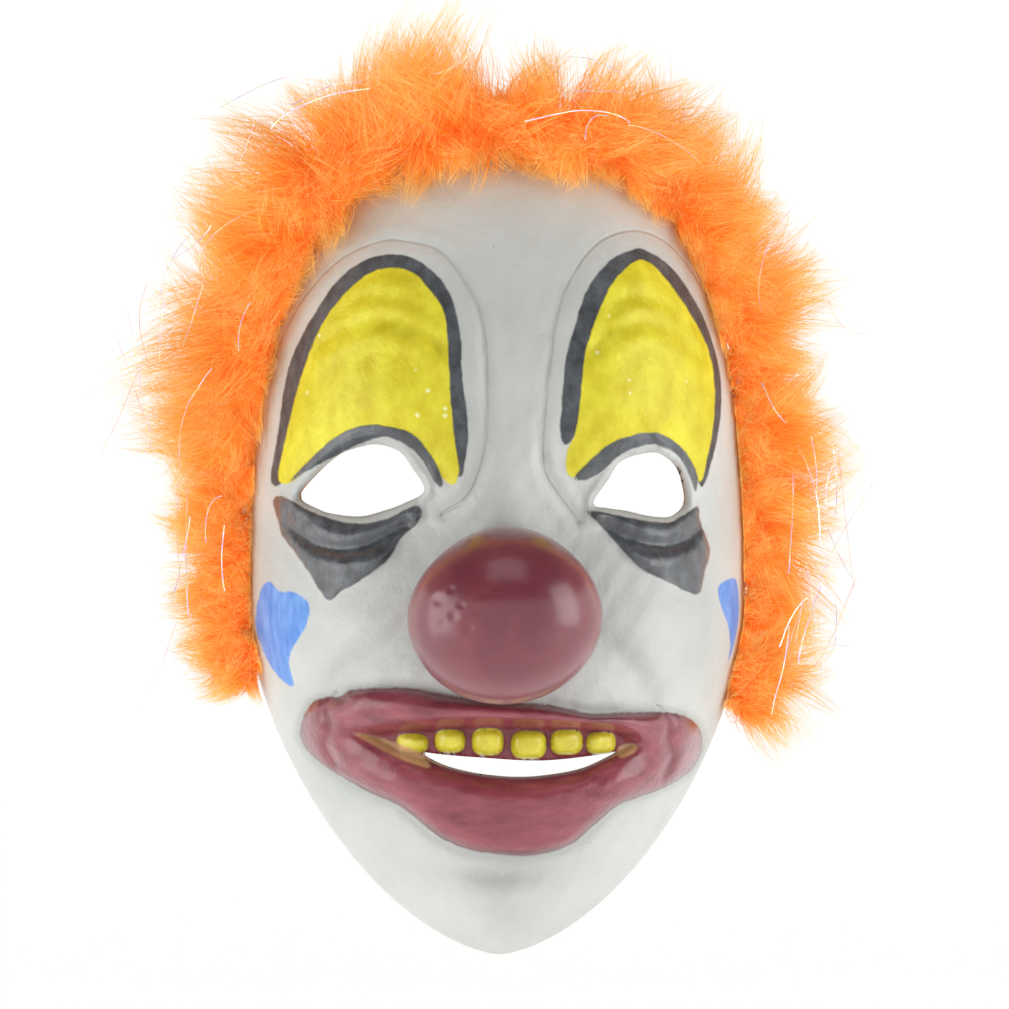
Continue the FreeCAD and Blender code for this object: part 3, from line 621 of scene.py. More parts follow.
def noseMaterial():
    material, tree = newMaterial("glossAcrylicOnLatexBall")
    place = addNode(tree, "ShaderNodeTexCoord").outputs["Object"]
    red, strokes = brushed(tree, place, "#6C2533", "#833742", 60.0, (1.0, 1.0, 0.7))
    bare = addNode(tree, "ShaderNodeAttribute", attribute_name="bareSkin").outputs["Fac"]
    wobble = addNode(tree, "ShaderNodeTexNoise", {"Vector": place, "Scale": 260.0, "Detail": 3.0})
    edge = addNode(tree, "ShaderNodeMath", {0: wobble.outputs[0], 1: 0.5, 2: bare}, operation="MULTIPLY_ADD")
    cover = addNode(tree, "ShaderNodeMapRange", {"Value": edge.outputs[0], "From Min": 0.8, "From Max": 1.0})
    colour = addNode(tree, "ShaderNodeMix", {0: cover.outputs[0], 6: red, 7: linear("#C68A58")},
                     data_type="RGBA")
    fine = addNode(tree, "ShaderNodeTexNoise", {"Vector": place, "Scale": 700.0, "Detail": 4.0})
    rough = addNode(tree, "ShaderNodeMapRange", {"Value": fine.outputs[0], "To Min": 0.27, "To Max": 0.37})
    bump = addNode(tree, "ShaderNodeBump", {"Height": strokes, "Strength": 0.1, "Distance": 0.001})
    shader = addNode(tree, "ShaderNodeBsdfPrincipled", {
        "Base Color": colour.outputs[2], "Roughness": rough.outputs[0], "Normal": bump.outputs[0], "IOR": 1.5,
        "Coat Weight": 0.5, "Coat Roughness": 0.18, "Sheen Weight": 0.12})
    finishMaterial(tree, shader)
    return material


def buildNose():
    around, rings = nose["around"], nose["rings"]
    lastSlant = math.acos((nose["centreY"] - shell["seatY"] + 0.1) / nose["halfDepth"])
    turn, slant = np.meshgrid(2 * np.pi * np.arange(around) / around,
                              np.linspace(0, lastSlant, rings + 1)[1:])
    x, y, z = noseSurface(slant, turn, 0.0)
    dent = np.zeros_like(x)
    for bubbleX, bubbleZ, size in nose["bubbles"]:
        gap = np.hypot(x - bubbleX, z - bubbleZ) / size
        dent += size * (0.33 * np.exp(-gap ** 2) - 0.03 * np.exp(-(gap - 1.4) ** 2 / 0.3)) * (y < nose["centreY"])
    outer = np.stack([x, y + dent, z], -1).reshape(-1, 3)
    outer = np.vstack([outer, [[0, nose["centreY"] - nose["halfDepth"], nose["centreZ"]]]])
    x, y, z = noseSurface(slant, turn, nose["wall"])
    y = np.minimum(y, shell["seatY"] - 0.1)
    inner = np.stack([x, y, z], -1).reshape(-1, 3)
    inner[-around:, 1] = shell["seatY"] - 0.1
    inner = np.vstack([inner, [[0, nose["centreY"] - nose["halfDepth"] + nose["wall"], nose["centreZ"]]]])
    index = np.arange(rings * around).reshape(rings, around)
    beside = np.roll(index, -1, 1)
    count = rings * around + 1
    faces = np.stack([index[:-1], index[1:], beside[1:], beside[:-1]], -1).reshape(-1, 4).tolist()
    faces += [(count - 1, index[0, i], beside[0, i]) for i in range(around)]
    lining = [[i + count for i in face[::-1]] for face in faces]
    seam = [(beside[-1, i], index[-1, i], index[-1, i] + count, beside[-1, i] + count) for i in range(around)]
    piece = addPiece("ballNose", np.vstack([outer, inner]) * mm, faces + lining + seam, noseMaterial())
    under = -(outer[:, 2] - nose["centreZ"]) / nose["halfHeight"]
    back = smoothStep(outer[:, 1], -41.5, -37.0)
    bare = np.concatenate([back * smoothStep(under, 0.35, 0.75), np.full(count, 1.0)])
    piece.data.attributes.new("bareSkin", "FLOAT", "POINT").data.foreach_set("value", bare.astype(np.float32))
    return standFor(piece, "nose_latex", "nose_bulb")


buildNose()
print("nose built")

# ---- the boa: where its cord runs, and how far its plumes stand off at each angle round the face

boa = {
    "firstAngle": -22.0,  # degrees about the nose's axis, from +X up over the crown
    "lastAngle": 196.0,
    "inset": 18.5,
    "coreRadius": 1.8,
    "wallGap": 0.9,
    "clumpsPerMm": 1.25,
    "tuftsPerClump": 3,
    "downPerMm": 2.1,
    "barbsPerTuft": 56,
    "barbWidth": 0.27,
    "seed": 5,
    "reach": [(-22, 18), (-16, 30), (-10, 31), (-3, 24), (5, 27), (14, 29), (22, 33), (31, 37), (39, 30),
              (46, 28),
              (51, 39), (57, 32), (65, 32), (73, 36), (81, 38), (88, 39), (95, 39), (103, 44), (108,
                                                                                                50), (113,
                                                                                                      49),
                                                                                                      (118,
                                                                                                       46),
              (125, 45), (132, 50), (139, 46), (145, 38), (151, 30), (158, 26), (170, 27), (180, 25), (190,
                                                                                                       25),
              (196, 17)],
}


def lengthAlong(points):
    return np.concatenate([[0], np.cumsum(np.linalg.norm(np.diff(points, axis=0), axis=1))])


def skinPoint(angle, reach):
    rim = rimRadius(angle)
    radius = shell["noseOpening"] + (rim - shell["noseOpening"]) * np.sin(reach * np.pi / 2)
    x, z = radius * np.cos(angle), radius * np.sin(angle) - shell["noseDrop"]
    return np.stack([x, skinDepth(x, z), z], -1)


def trimFrame(degrees):
    # the cord's centre, and the ways off the shell, back along it and onward round it
    angle = np.radians(np.atleast_1d(np.asarray(degrees, float)))
    rim, deep = rimRadius(angle), rimDepth(angle)
    drop = boa["inset"] / (deep - shell["frontY"])
    radius = (1 - drop * drop) ** (1 / 2.6) * rim
    reach = np.arcsin((radius - shell["noseOpening"]) / (rim - shell["noseOpening"])) * 2 / np.pi
    step = 0.002
    outwards = skinPoint(angle, np.minimum(reach + step, 1)) - skinPoint(angle, reach - step)
    onward = skinPoint(angle + step, reach) - skinPoint(angle - step, reach)
    onward /= np.linalg.norm(onward, axis=1, keepdims=True)
    off = np.cross(outwards, onward)
    off /= np.linalg.norm(off, axis=1, keepdims=True)
    back = np.cross(off, onward)
    back *= np.sign(back[:, 1:2])
    centre = skinPoint(angle, reach) + off * (boa["coreRadius"] + boa["wallGap"])
    return centre, off, back, onward


def strandTree(name):
    # grows a clump of fine ribbons from each guide point; they part, then close to a point
    tree = bpy.data.node_groups.new(name, "GeometryNodeTree")
    sockets = {"Geometry": "Geometry", "Strands each": "Int", "Points each": "Int", "Width": "Float",
               "Spread": "Float", "Curl": "Float", "Curl size": "Float", "Shortest": "Float",
               "Taper": "Float",
               "Seed": "Int", "Material": "Material"}
    for label, kind in sockets.items():
        tree.interface.new_socket(label, in_out="INPUT", socket_type="NodeSocket" + kind)
    tree.interface.new_socket("Geometry", in_out="OUTPUT", socket_type="NodeSocketGeometry")
    given = addNode(tree, "NodeGroupInput").outputs
    points = addNode(tree, "GeometryNodeMeshToPoints", {"Mesh": given["Geometry"]})
    tone = addNode(tree, "FunctionNodeRandomValue", {2: 0.0, 3: 1.0, "Seed": given["Seed"]},
                   data_type="FLOAT")
    toned = addNode(tree, "GeometryNodeStoreNamedAttribute", {"Geometry": points.outputs[0], "Name": "tone",
                                                              "Value": tone.outputs[1]},
                    data_type="FLOAT", domain="POINT")
    many = addNode(tree, "GeometryNodeDuplicateElements",
                   {"Geometry": toned.outputs[0], "Amount": given["Strands each"]}, domain="POINT")
    scatter = addNode(tree, "FunctionNodeRandomValue",
                      {"Min": (-1, -1, -1), "Max": (1, 1, 1), "Seed": given["Seed"]},
                      data_type="FLOAT_VECTOR").outputs[0]
    otherSeed = addNode(tree, "ShaderNodeMath", {0: given["Seed"], 1: 7.0}, operation="ADD").outputs[0]
    share = addNode(tree, "FunctionNodeRandomValue", {2: given["Shortest"], 3: 1.0, "Seed": otherSeed},
                    data_type="FLOAT").outputs[1]
    thirdSeed = addNode(tree, "ShaderNodeMath", {0: given["Seed"], 1: 13.0}, operation="ADD").outputs[0]
    tint = addNode(tree, "FunctionNodeRandomValue", {2: 0.0, 3: 1.0, "Seed": thirdSeed},
                   data_type="FLOAT").outputs[1]
    home = addNode(tree, "GeometryNodeInputPosition").outputs[0]
    flow = many.outputs[0]
    own = addNode(tree, "GeometryNodeInputNamedAttribute", {"Name": "tone"}, data_type="FLOAT").outputs[0]
    own = addNode(tree, "ShaderNodeMath", {0: own, 1: 0.7}, operation="MULTIPLY").outputs[0]
    tint = addNode(tree, "ShaderNodeMath", {0: tint, 1: 0.3, 2: own}, operation="MULTIPLY_ADD").outputs[0]
    for label, value, kind in (("root", home, "FLOAT_VECTOR"), ("scatter", scatter, "FLOAT_VECTOR"),
                               ("share", share, "FLOAT"), ("tint", tint, "FLOAT")):
        flow = addNode(tree, "GeometryNodeStoreNamedAttribute",
                       {"Geometry": flow, "Name": label, "Value": value},
                       data_type=kind, domain="POINT").outputs[0]
    stem = addNode(tree, "GeometryNodeCurvePrimitiveLine", {"Start": (0, 0, 0), "End": (0, 0, 1)})
    stem = addNode(tree, "GeometryNodeResampleCurve",
                   {"Curve": stem.outputs[0], "Count": given["Points each"]})
    placed = addNode(tree, "GeometryNodeInstanceOnPoints", {"Points": flow, "Instance": stem.outputs[0]})
    loose = addNode(tree, "GeometryNodeRealizeInstances", {"Geometry": placed.outputs[0]})
    kinds = {"root": "FLOAT_VECTOR", "way": "FLOAT_VECTOR", "sway": "FLOAT_VECTOR", "scatter": "FLOAT_VECTOR",
             "puff": "FLOAT_VECTOR", "foot": "FLOAT_VECTOR", "off": "FLOAT_VECTOR", "share": "FLOAT",
             "tint": "FLOAT"}
    read = {label: addNode(tree, "GeometryNodeInputNamedAttribute", {"Name": label},
                           data_type=kind).outputs[0]
            for label, kind in kinds.items()}
    t = addNode(tree, "GeometryNodeSplineParameter").outputs["Factor"]
    far = addNode(tree, "ShaderNodeMath", {0: t, 1: read["share"]}, operation="MULTIPLY").outputs[0]
    along = addNode(tree, "ShaderNodeVectorMath", {0: read["way"], "Scale": far},
                    operation="SCALE").outputs[0]
    length = addNode(tree, "ShaderNodeVectorMath", {0: read["way"]}, operation="LENGTH").outputs[1]
    rest = addNode(tree, "ShaderNodeMath", {0: 1.12, 1: far}, operation="SUBTRACT").outputs[0]
    early = addNode(tree, "ShaderNodeMath", {0: far, 1: 0.65}, operation="POWER").outputs[0]
    belly = addNode(tree, "ShaderNodeMath", {0: early, 1: rest}, operation="MULTIPLY").outputs[0]
    belly = addNode(tree, "ShaderNodeMath", {0: belly, 1: given["Spread"]}, operation="MULTIPLY").outputs[0]
    belly = addNode(tree, "ShaderNodeMath", {0: belly, 1: length}, operation="MULTIPLY").outputs[0]
    loosely = addNode(tree, "ShaderNodeVectorMath", {0: read["scatter"], 1: read["puff"]},
                      operation="MULTIPLY")
    parted = addNode(tree, "ShaderNodeVectorMath", {0: loosely.outputs[0], "Scale": belly},
                     operation="SCALE").outputs[0]
    late = addNode(tree, "ShaderNodeMath", {0: far, 1: 2.0}, operation="POWER").outputs[0]
    leaning = addNode(tree, "ShaderNodeVectorMath", {0: read["sway"], "Scale": late},
                      operation="SCALE").outputs[0]
    spot = addNode(tree, "ShaderNodeVectorMath", {0: read["root"], 1: along}, operation="ADD").outputs[0]
    spot = addNode(tree, "ShaderNodeVectorMath", {0: spot, 1: parted}, operation="ADD").outputs[0]
    spot = addNode(tree, "ShaderNodeVectorMath", {0: spot, 1: leaning}, operation="ADD").outputs[0]
    eddy = addNode(tree, "ShaderNodeTexNoise", {"Vector": spot, "Scale": given["Curl size"], "Detail": 2.0})
    eddy = addNode(tree, "ShaderNodeVectorMath", {0: eddy.outputs["Color"], 1: (0.5, 0.5, 0.5)},
                   operation="SUBTRACT").outputs[0]
    eddySize = addNode(tree, "ShaderNodeMath", {0: t, 1: given["Curl"]}, operation="MULTIPLY").outputs[0]
    eddy = addNode(tree, "ShaderNodeVectorMath", {0: eddy, "Scale": eddySize}, operation="SCALE").outputs[0]
    spot = addNode(tree, "ShaderNodeVectorMath", {0: spot, 1: eddy}, operation="ADD").outputs[0]
    above = addNode(tree, "ShaderNodeVectorMath", {0: spot, 1: read["foot"]}, operation="SUBTRACT").outputs[0]
    height = addNode(tree, "ShaderNodeVectorMath", {0: above, 1: read["off"]},
                     operation="DOT_PRODUCT").outputs[1]
    short = addNode(tree, "ShaderNodeMath", {0: 0.0006, 1: height}, operation="SUBTRACT").outputs[0]
    short = addNode(tree, "ShaderNodeMath", {0: short, 1: 0.0}, operation="MAXIMUM").outputs[0]
    push = addNode(tree, "ShaderNodeVectorMath", {0: read["off"], "Scale": short},
                   operation="SCALE").outputs[0]
    spot = addNode(tree, "ShaderNodeVectorMath", {0: spot, 1: push}, operation="ADD").outputs[0]
    shaped = addNode(tree, "GeometryNodeSetPosition", {"Geometry": loose.outputs[0], "Position": spot})
    twist = addNode(tree, "ShaderNodeMath", {0: read["tint"], 1: 41.0}, operation="MULTIPLY").outputs[0]
    turned = addNode(tree, "GeometryNodeSetCurveTilt", {"Curve": shaped.outputs[0], "Tilt": twist})
    marked = addNode(tree, "GeometryNodeStoreNamedAttribute", {"Geometry": turned.outputs[0], "Name": "along",
                                                               "Value": t}, data_type="FLOAT", domain="POINT")
    half = addNode(tree, "ShaderNodeMath", {0: given["Width"], 1: 0.5}, operation="MULTIPLY").outputs[0]
    left = addNode(tree, "ShaderNodeCombineXYZ", {"X": half})
    right = addNode(tree, "ShaderNodeVectorMath", {0: left.outputs[0], "Scale": -1.0}, operation="SCALE")
    section = addNode(tree, "GeometryNodeCurvePrimitiveLine",
                      {"Start": left.outputs[0], "End": right.outputs[0]})
    sided = addNode(tree, "GeometryNodeStoreNamedAttribute", {"Geometry": section.outputs[0], "Name": "side",
                                                              "Value": t}, data_type="FLOAT", domain="POINT")
    thin = addNode(tree, "ShaderNodeMath", {0: t, 1: given["Taper"]}, operation="MULTIPLY").outputs[0]
    thin = addNode(tree, "ShaderNodeMath", {0: 1.0, 1: thin}, operation="SUBTRACT").outputs[0]
    ribbons = addNode(tree, "GeometryNodeCurveToMesh", {"Curve": marked.outputs[0],
                                                        "Profile Curve": sided.outputs[0], "Scale": thin})
    side = addNode(tree, "GeometryNodeInputNamedAttribute", {"Name": "side"}, data_type="FLOAT").outputs[0]
    down = addNode(tree, "GeometryNodeInputNamedAttribute", {"Name": "along"}, data_type="FLOAT").outputs[0]
    strip = addNode(tree, "ShaderNodeMath", {0: side, 1: 0.004}, operation="MULTIPLY").outputs[0]
    strip = addNode(tree, "ShaderNodeMath", {0: read["tint"], 1: 0.99, 2: strip},
                    operation="MULTIPLY_ADD").outputs[0]
    flat = addNode(tree, "ShaderNodeCombineXYZ", {"X": strip, "Y": down})
    mapped = addNode(tree, "GeometryNodeStoreNamedAttribute",
                     {"Geometry": ribbons.outputs[0], "Name": "OFBake",
                                                               "Value": flat.outputs[0]},
                     data_type="FLOAT2", domain="CORNER")
    smooth = addNode(tree, "GeometryNodeSetShadeSmooth", {"Geometry": mapped.outputs[0]})
    solid = addNode(tree, "GeometryNodeRealizeInstances", {"Geometry": smooth.outputs[0]})
    coloured = addNode(tree, "GeometryNodeSetMaterial",
                       {"Geometry": solid.outputs[0], "Material": given["Material"]})
    addNode(tree, "NodeGroupOutput", {"Geometry": coloured.outputs[0]})
    return tree


def grow(name, tree, points, vectors, values):
    # runs a tree on guide points and keeps the result as a plain mesh
    mesh = bpy.data.meshes.new(name + "Guides")
    mesh.from_pydata([tuple(p) for p in points], [], [])
    for label, array in vectors.items():
        mesh.attributes.new(label, "FLOAT_VECTOR", "POINT").data.foreach_set("vector",
                                                                             np.float32(array).ravel())
    guide = bpy.data.objects.new(name + "Guides", mesh)
    scene.collection.objects.link(guide)
    modifier = guide.modifiers.new("grow", "NODES")
    modifier.node_group = tree
    for item in tree.interface.items_tree:
        if item.in_out == "INPUT" and item.name in values:
            modifier[item.identifier] = values[item.name]
    bpy.context.view_layer.update()
    result = bpy.data.meshes.new_from_object(guide.evaluated_get(bpy.context.evaluated_depsgraph_get()))
    bpy.data.objects.remove(guide)
    for attribute in [a.name for a in result.attributes if a.name in
                      ("root", "way", "sway", "puff", "foot", "off", "scatter", "share", "tone", "tint",
                       "along", "side")]:
        result.attributes.remove(result.attributes[attribute])
    result.name = name
    piece = bpy.data.objects.new(name, result)
    scene.collection.objects.link(piece)
    return piece


# marabou down, dyed orange: soft barbs, deep orange at the root, partly as painted shade in the tufts' dense
# cores, and pale at the tip; an emission gives them a painted glow


def marabouMaterial():
    material, tree = newMaterial("dyedMarabouDown")
    uv = addNode(tree, "ShaderNodeUVMap", uv_map="OFBake").outputs[0]
    parts = addNode(tree, "ShaderNodeSeparateXYZ", {0: uv})
    # darker at the root: partly the dye, partly painted shade in the tufts' dense cores
    ramp = addNode(tree, "ShaderNodeValToRGB", {0: parts.outputs["Y"]})
    stops = [(0.0, "#F5801E"), (0.22, "#FF9E34"), (0.55, "#FFBA54"), (0.82, "#FFD27E"), (1.0, "#FFE6AC")]
    for place, colour in stops[1:-1]:
        ramp.color_ramp.elements.new(place)
    for stop, (place, colour) in zip(ramp.color_ramp.elements, stops):
        stop.position = place
        stop.color = linear(colour)
    each = addNode(tree, "ShaderNodeMapRange", {"Value": parts.outputs["X"], "To Min": 0.74, "To Max": 1.12})
    colour = addNode(tree, "ShaderNodeMix", {0: 1.0, 6: ramp.outputs[0], 7: each.outputs[0]},
                     data_type="RGBA",
                     blend_type="MULTIPLY")
    # painted glow: an orange emission, paler towards the tip, makes the barbs brighter than the lamps light them
    paintedGlowColour = addNode(tree, "ShaderNodeMix", {0: parts.outputs["Y"], 6: linear("#F27A1C"), 7: linear("#FFCE5E")},
                  data_type="RGBA")
    paintedGlowColour = addNode(tree, "ShaderNodeMix", {0: 1.0, 6: paintedGlowColour.outputs[2], 7: each.outputs[0]}, data_type="RGBA",
                  blend_type="MULTIPLY")
    body = addNode(tree, "ShaderNodeBsdfPrincipled", {"Base Color": colour.outputs[2], "Roughness": 0.62,
                                                      "Sheen Weight": 0.04, "Sheen Roughness": 0.4,
                                                      "Specular IOR Level": 0.25,
                                                      "Emission Color": paintedGlowColour.outputs[2],
                                                      "Emission Strength": 0.3})
    glow = addNode(tree, "ShaderNodeBsdfTranslucent", {"Color": colour.outputs[2]})
    shader = addNode(tree, "ShaderNodeMixShader", {0: 0.45, 1: body.outputs[0], 2: glow.outputs[0]})
    finishMaterial(tree, shader)
    return material


plumeStretches = [  # piece, the node it stands for, first and last angle
    ("marabouRightLow", "plumes_right_side", -22.0, 2.0),
    ("marabouRightMiddle", "plumes_right_side", 2.0, 22.0),
    ("marabouRightHigh", "plumes_right_temple", 22.0, 44.0),
    ("marabouRightTop", "plumes_right_temple", 44.0, 62.0),
    ("marabouCrownRight", "plumes_crown", 62.0, 80.0),
    ("marabouCrownMiddle", "plumes_crown", 80.0, 99.0),
    ("marabouCrownLeft", "plumes_crown", 99.0, 118.0),
    ("marabouLeftTop", "plumes_left_temple", 118.0, 137.0),
    ("marabouLeftHigh", "plumes_left_temple", 137.0, 156.0),
    ("marabouLeftLow", "plumes_left_side", 156.0, 196.0),
]


def tuftGuides(first, last):
    # tufts leave the cord in clumps that lean their own way, over short down that hides the cord
    fine = np.linspace(first, last, 40)
    arc = lengthAlong(trimFrame(fine)[0])
    clumps, each = int(arc[-1] * boa["clumpsPerMm"]), boa["tuftsPerClump"]
    short = int(arc[-1] * boa["downPerMm"])
    count = clumps * each + short
    isDown = np.arange(count) >= clumps * each

    def perClump(clumpValues, ownValues):
        return np.concatenate([np.repeat(clumpValues, each), np.zeros(short)]) + ownValues

    along = perClump(chance.uniform(0, arc[-1], clumps), chance.normal(0, 1.4, count))
    along = np.where(isDown, chance.uniform(0, arc[-1], count), along)
    degrees = np.interp(np.clip(along, 0, arc[-1]), arc, fine)
    centre, off, back, onward = trimFrame(degrees)
    table = np.array(boa["reach"], float)
    reach = np.interp(degrees, table[:, 0], table[:, 1])
    high = smoothStep(np.sin(np.radians(degrees)), 0.45, 0.9)
    front = chance.uniform(0, 1, clumps) < 0.45
    clumpFan = np.where(front, chance.uniform(-104, -35, clumps), chance.uniform(-35, 96, clumps))
    fan = perClump(clumpFan, chance.normal(0, 10, count))
    fan = np.radians(np.where(isDown, chance.uniform(-126, 90, count), fan))
    lean = np.radians(perClump(chance.normal(0, 20, clumps), chance.normal(0, 9, count)))
    spoke = off * np.cos(fan)[:, None] + back * np.sin(fan)[:, None]
    spoke = spoke * np.cos(lean)[:, None] + onward * np.sin(lean)[:, None]
    forward = smoothStep(-fan, 0.3, 1.3)  # plumes fall long over the brow, short over the cheeks
    share = 1 - 0.28 * smoothStep(fan, 0.2, 1.6) - forward * (0.52 - 0.22 * high)
    share = share * perClump(chance.uniform(0.62, 1.0, clumps), 0.0) * chance.uniform(0.78, 1.06, count)
    length = np.where(isDown, chance.uniform(7.5, 11.5, count), np.maximum(reach * share, 8.0))
    root = centre + spoke * chance.uniform(1.0, 3.0, (count, 1))
    droop = perClump(chance.normal(0, 0.24, clumps), chance.normal(0, 0.05, count))[:, None]
    sway = (onward * droop + back * chance.normal(0, 0.12, (count, 1))) * length[:, None]
    puff = np.where(isDown, 2.4, 1.0)[:, None] * np.ones(3)
    foot = centre - off * (boa["coreRadius"] + boa["wallGap"])
    return root * mm, {"way": spoke * length[:, None] * mm, "sway": sway * mm, "puff": puff,
                       "foot": foot * mm,
                       "off": off}


down = marabouMaterial()
barbTree = strandTree("marabouBarbs")
for pieceName, node, firstAngle, lastAngle in plumeStretches:
    roots, vectors = tuftGuides(firstAngle, lastAngle)
    plumes = grow(pieceName, barbTree, roots, vectors, {
        "Strands each": boa["barbsPerTuft"], "Points each": 5, "Width": boa["barbWidth"] * mm, "Spread": 0.52,
        "Curl": 5.0 * mm, "Curl size": 110.0, "Shortest": 0.6, "Taper": 0.8, "Seed": boa["seed"],
        "Material": down})
    standFor(plumes, "marabou", node)
    print(pieceName, len(plumes.data.polygons))

# ---- tinsel: slit film, iridescent, loose among the plumes, with a painted glow from a weak emission

tinsel = {
    "count": 60,
    "width": 0.3,
    "seed": 9,
    "long": (18.0, 34.0),
}


def tinselMaterial():
    material, tree = newMaterial("iridescentSlitFilm")
    uv = addNode(tree, "ShaderNodeUVMap", uv_map="OFBake").outputs[0]
    parts = addNode(tree, "ShaderNodeSeparateXYZ", {0: uv})
    bands = addNode(tree, "ShaderNodeMath", {0: parts.outputs["Y"], 1: 2.3, 2: parts.outputs["X"]},
                    operation="MULTIPLY_ADD")
    hue = addNode(tree, "ShaderNodeMath", {0: bands.outputs[0]}, operation="FRACT")
    ramp = addNode(tree, "ShaderNodeValToRGB", {0: hue.outputs[0]})
    stops = [(0.0, "#F7F3FA"), (0.3, "#F6CFE4"), (0.5, "#D8CAF8"), (0.68, "#FFFFFF"), (0.84, "#E4F4AC"),
             (1.0, "#F7F3FA")]
    for place, colour in stops[1:-1]:
        ramp.color_ramp.elements.new(place)
    for stop, (place, colour) in zip(ramp.color_ramp.elements, stops):
        stop.position = place
        stop.color = linear(colour)
    # painted glow: the film's colours also go into a weak emission
    shader = addNode(tree, "ShaderNodeBsdfPrincipled", {"Base Color": ramp.outputs[0], "Metallic": 0.5,
                                                        "Roughness": 0.2, "Emission Color": ramp.outputs[0],
                                                        "Emission Strength": 0.25})
    finishMaterial(tree, shader)
    return material


def tinselGuides():
    count = tinsel["count"]
    dice = np.random.default_rng(tinsel["seed"])
    degrees = -14 + 200 * dice.uniform(0, 1, count) ** 1.5  # most of them on the right and over the crown
    centre, off, back, onward = trimFrame(degrees)
    table = np.array(boa["reach"], float)
    reach = np.interp(degrees, table[:, 0], table[:, 1])
    fan = np.radians(dice.uniform(-72, 8, count))
    spoke = off * np.cos(fan)[:, None] + back * np.sin(fan)[:, None]
    way = onward * np.sign(dice.normal(0, 1, (count, 1))) + spoke * dice.uniform(-0.1, 0.4, (count, 1))
    way /= np.linalg.norm(way, axis=1, keepdims=True)
    length = dice.uniform(*tinsel["long"], (count, 1))
    root = centre + spoke * (reach * dice.uniform(0.6, 0.85, count))[:, None]
    sway = (dice.normal(0, 0.28, (count, 3)) - off * 0.1) * length
    foot = centre - off * (boa["coreRadius"] + boa["wallGap"])
    return root * mm, {"way": way * length * mm, "sway": sway * mm, "puff": np.ones((count, 3)),
                       "foot": foot * mm,
                       "off": off}


roots, vectors = tinselGuides()
film = grow("tinselFilm", strandTree("tinselStrands"), roots, vectors, {
    "Strands each": 1, "Points each": 18, "Width": tinsel["width"] * mm, "Spread": 0.1, "Curl": 3.0 * mm,
    "Curl size": 45.0, "Shortest": 0.7, "Taper": 0.15, "Seed": tinsel["seed"], "Material": tinselMaterial()})
standFor(film, "tinsel_film", "tinsel_strands")
print("tinsel grown")

# ---- the cord: two plies of spun cotton, bound with thread at its ends

cord = {
    "pitch": 6.0,  # one whole turn of the plies
    "plyRadius": 0.95,
    "bindRadius": 0.22,
    "bindLength": 4.0,
}


def tube(points, radius, sides):
    # a closed tube along points, with rounded-off flat ends
    points = np.asarray(points, float)
    run = np.gradient(points, axis=0)
    run /= np.linalg.norm(run, axis=1, keepdims=True)
    aside = np.cross(run, (0.0, 1.0, 0.13))
    aside /= np.linalg.norm(aside, axis=1, keepdims=True)
    up = np.cross(run, aside)
    turn = 2 * np.pi * np.arange(sides) / sides
    rings = points[:, None] + radius * (aside[:, None] * np.cos(turn)[None, :, None]
                                        + up[:, None] * np.sin(turn)[None, :, None])
    count = len(points)
    verts = np.vstack([rings.reshape(-1, 3), points[:1], points[-1:]])
    faces = []
    for i in range(count - 1):
        for k in range(sides):
            n = (k + 1) % sides
            faces.append((i * sides + k, i * sides + n, (i + 1) * sides + n, (i + 1) * sides + k))
    for k in range(sides):
        n = (k + 1) % sides
        faces.append((count * sides, n, k))
        faces.append((count * sides + 1, (count - 1) * sides + k, (count - 1) * sides + n))
    return verts, faces


def joined(parts):
    verts, faces, start = [], [], 0
    for partVerts, partFaces in parts:
        verts.append(partVerts)
        faces += [tuple(i + start for i in face) for face in partFaces]
        start += len(partVerts)
    return np.vstack(verts), faces


def fibreMaterial(name, dark, light, spacing):
    # spun thread: fine bright and dark fibres across the lay
    material, tree = newMaterial(name)
    place = addNode(tree, "ShaderNodeTexCoord").outputs["Object"]
    fibres = addNode(tree, "ShaderNodeTexNoise", {"Vector": place, "Scale": 1000.0 / spacing, "Detail": 4.0})
    colour = addNode(tree, "ShaderNodeMix", {0: fibres.outputs[0], 6: linear(dark), 7: linear(light)},
                     data_type="RGBA")
    bump = addNode(tree, "ShaderNodeBump", {"Height": fibres.outputs[0], "Strength": 0.5, "Distance": 0.0002})
    shader = addNode(tree, "ShaderNodeBsdfPrincipled", {"Base Color": colour.outputs[2], "Roughness": 0.85,
                                                        "Normal": bump.outputs[0], "Sheen Weight": 0.2})
    finishMaterial(tree, shader)
    return material


def buildCord():
    degrees = np.linspace(boa["firstAngle"], boa["lastAngle"], 760)
    centre, off, back, _ = trimFrame(degrees)
    lay = 2 * np.pi * lengthAlong(centre) / cord["pitch"]
    plies = []
    for ply in (0, np.pi):
        swing = off * np.cos(lay + ply)[:, None] + back * np.sin(lay + ply)[:, None]
        plies.append(tube((centre + swing * (boa["coreRadius"] - cord["plyRadius"])) * mm,
                          cord["plyRadius"] * mm, 8))
    verts, faces = joined(plies)
    cotton = fibreMaterial("dyedCottonCord", "#B8480F", "#F08A3C", 0.5)
    standFor(addPiece("twistedCord", verts, faces, cotton), "boa_cord", "boa_core")


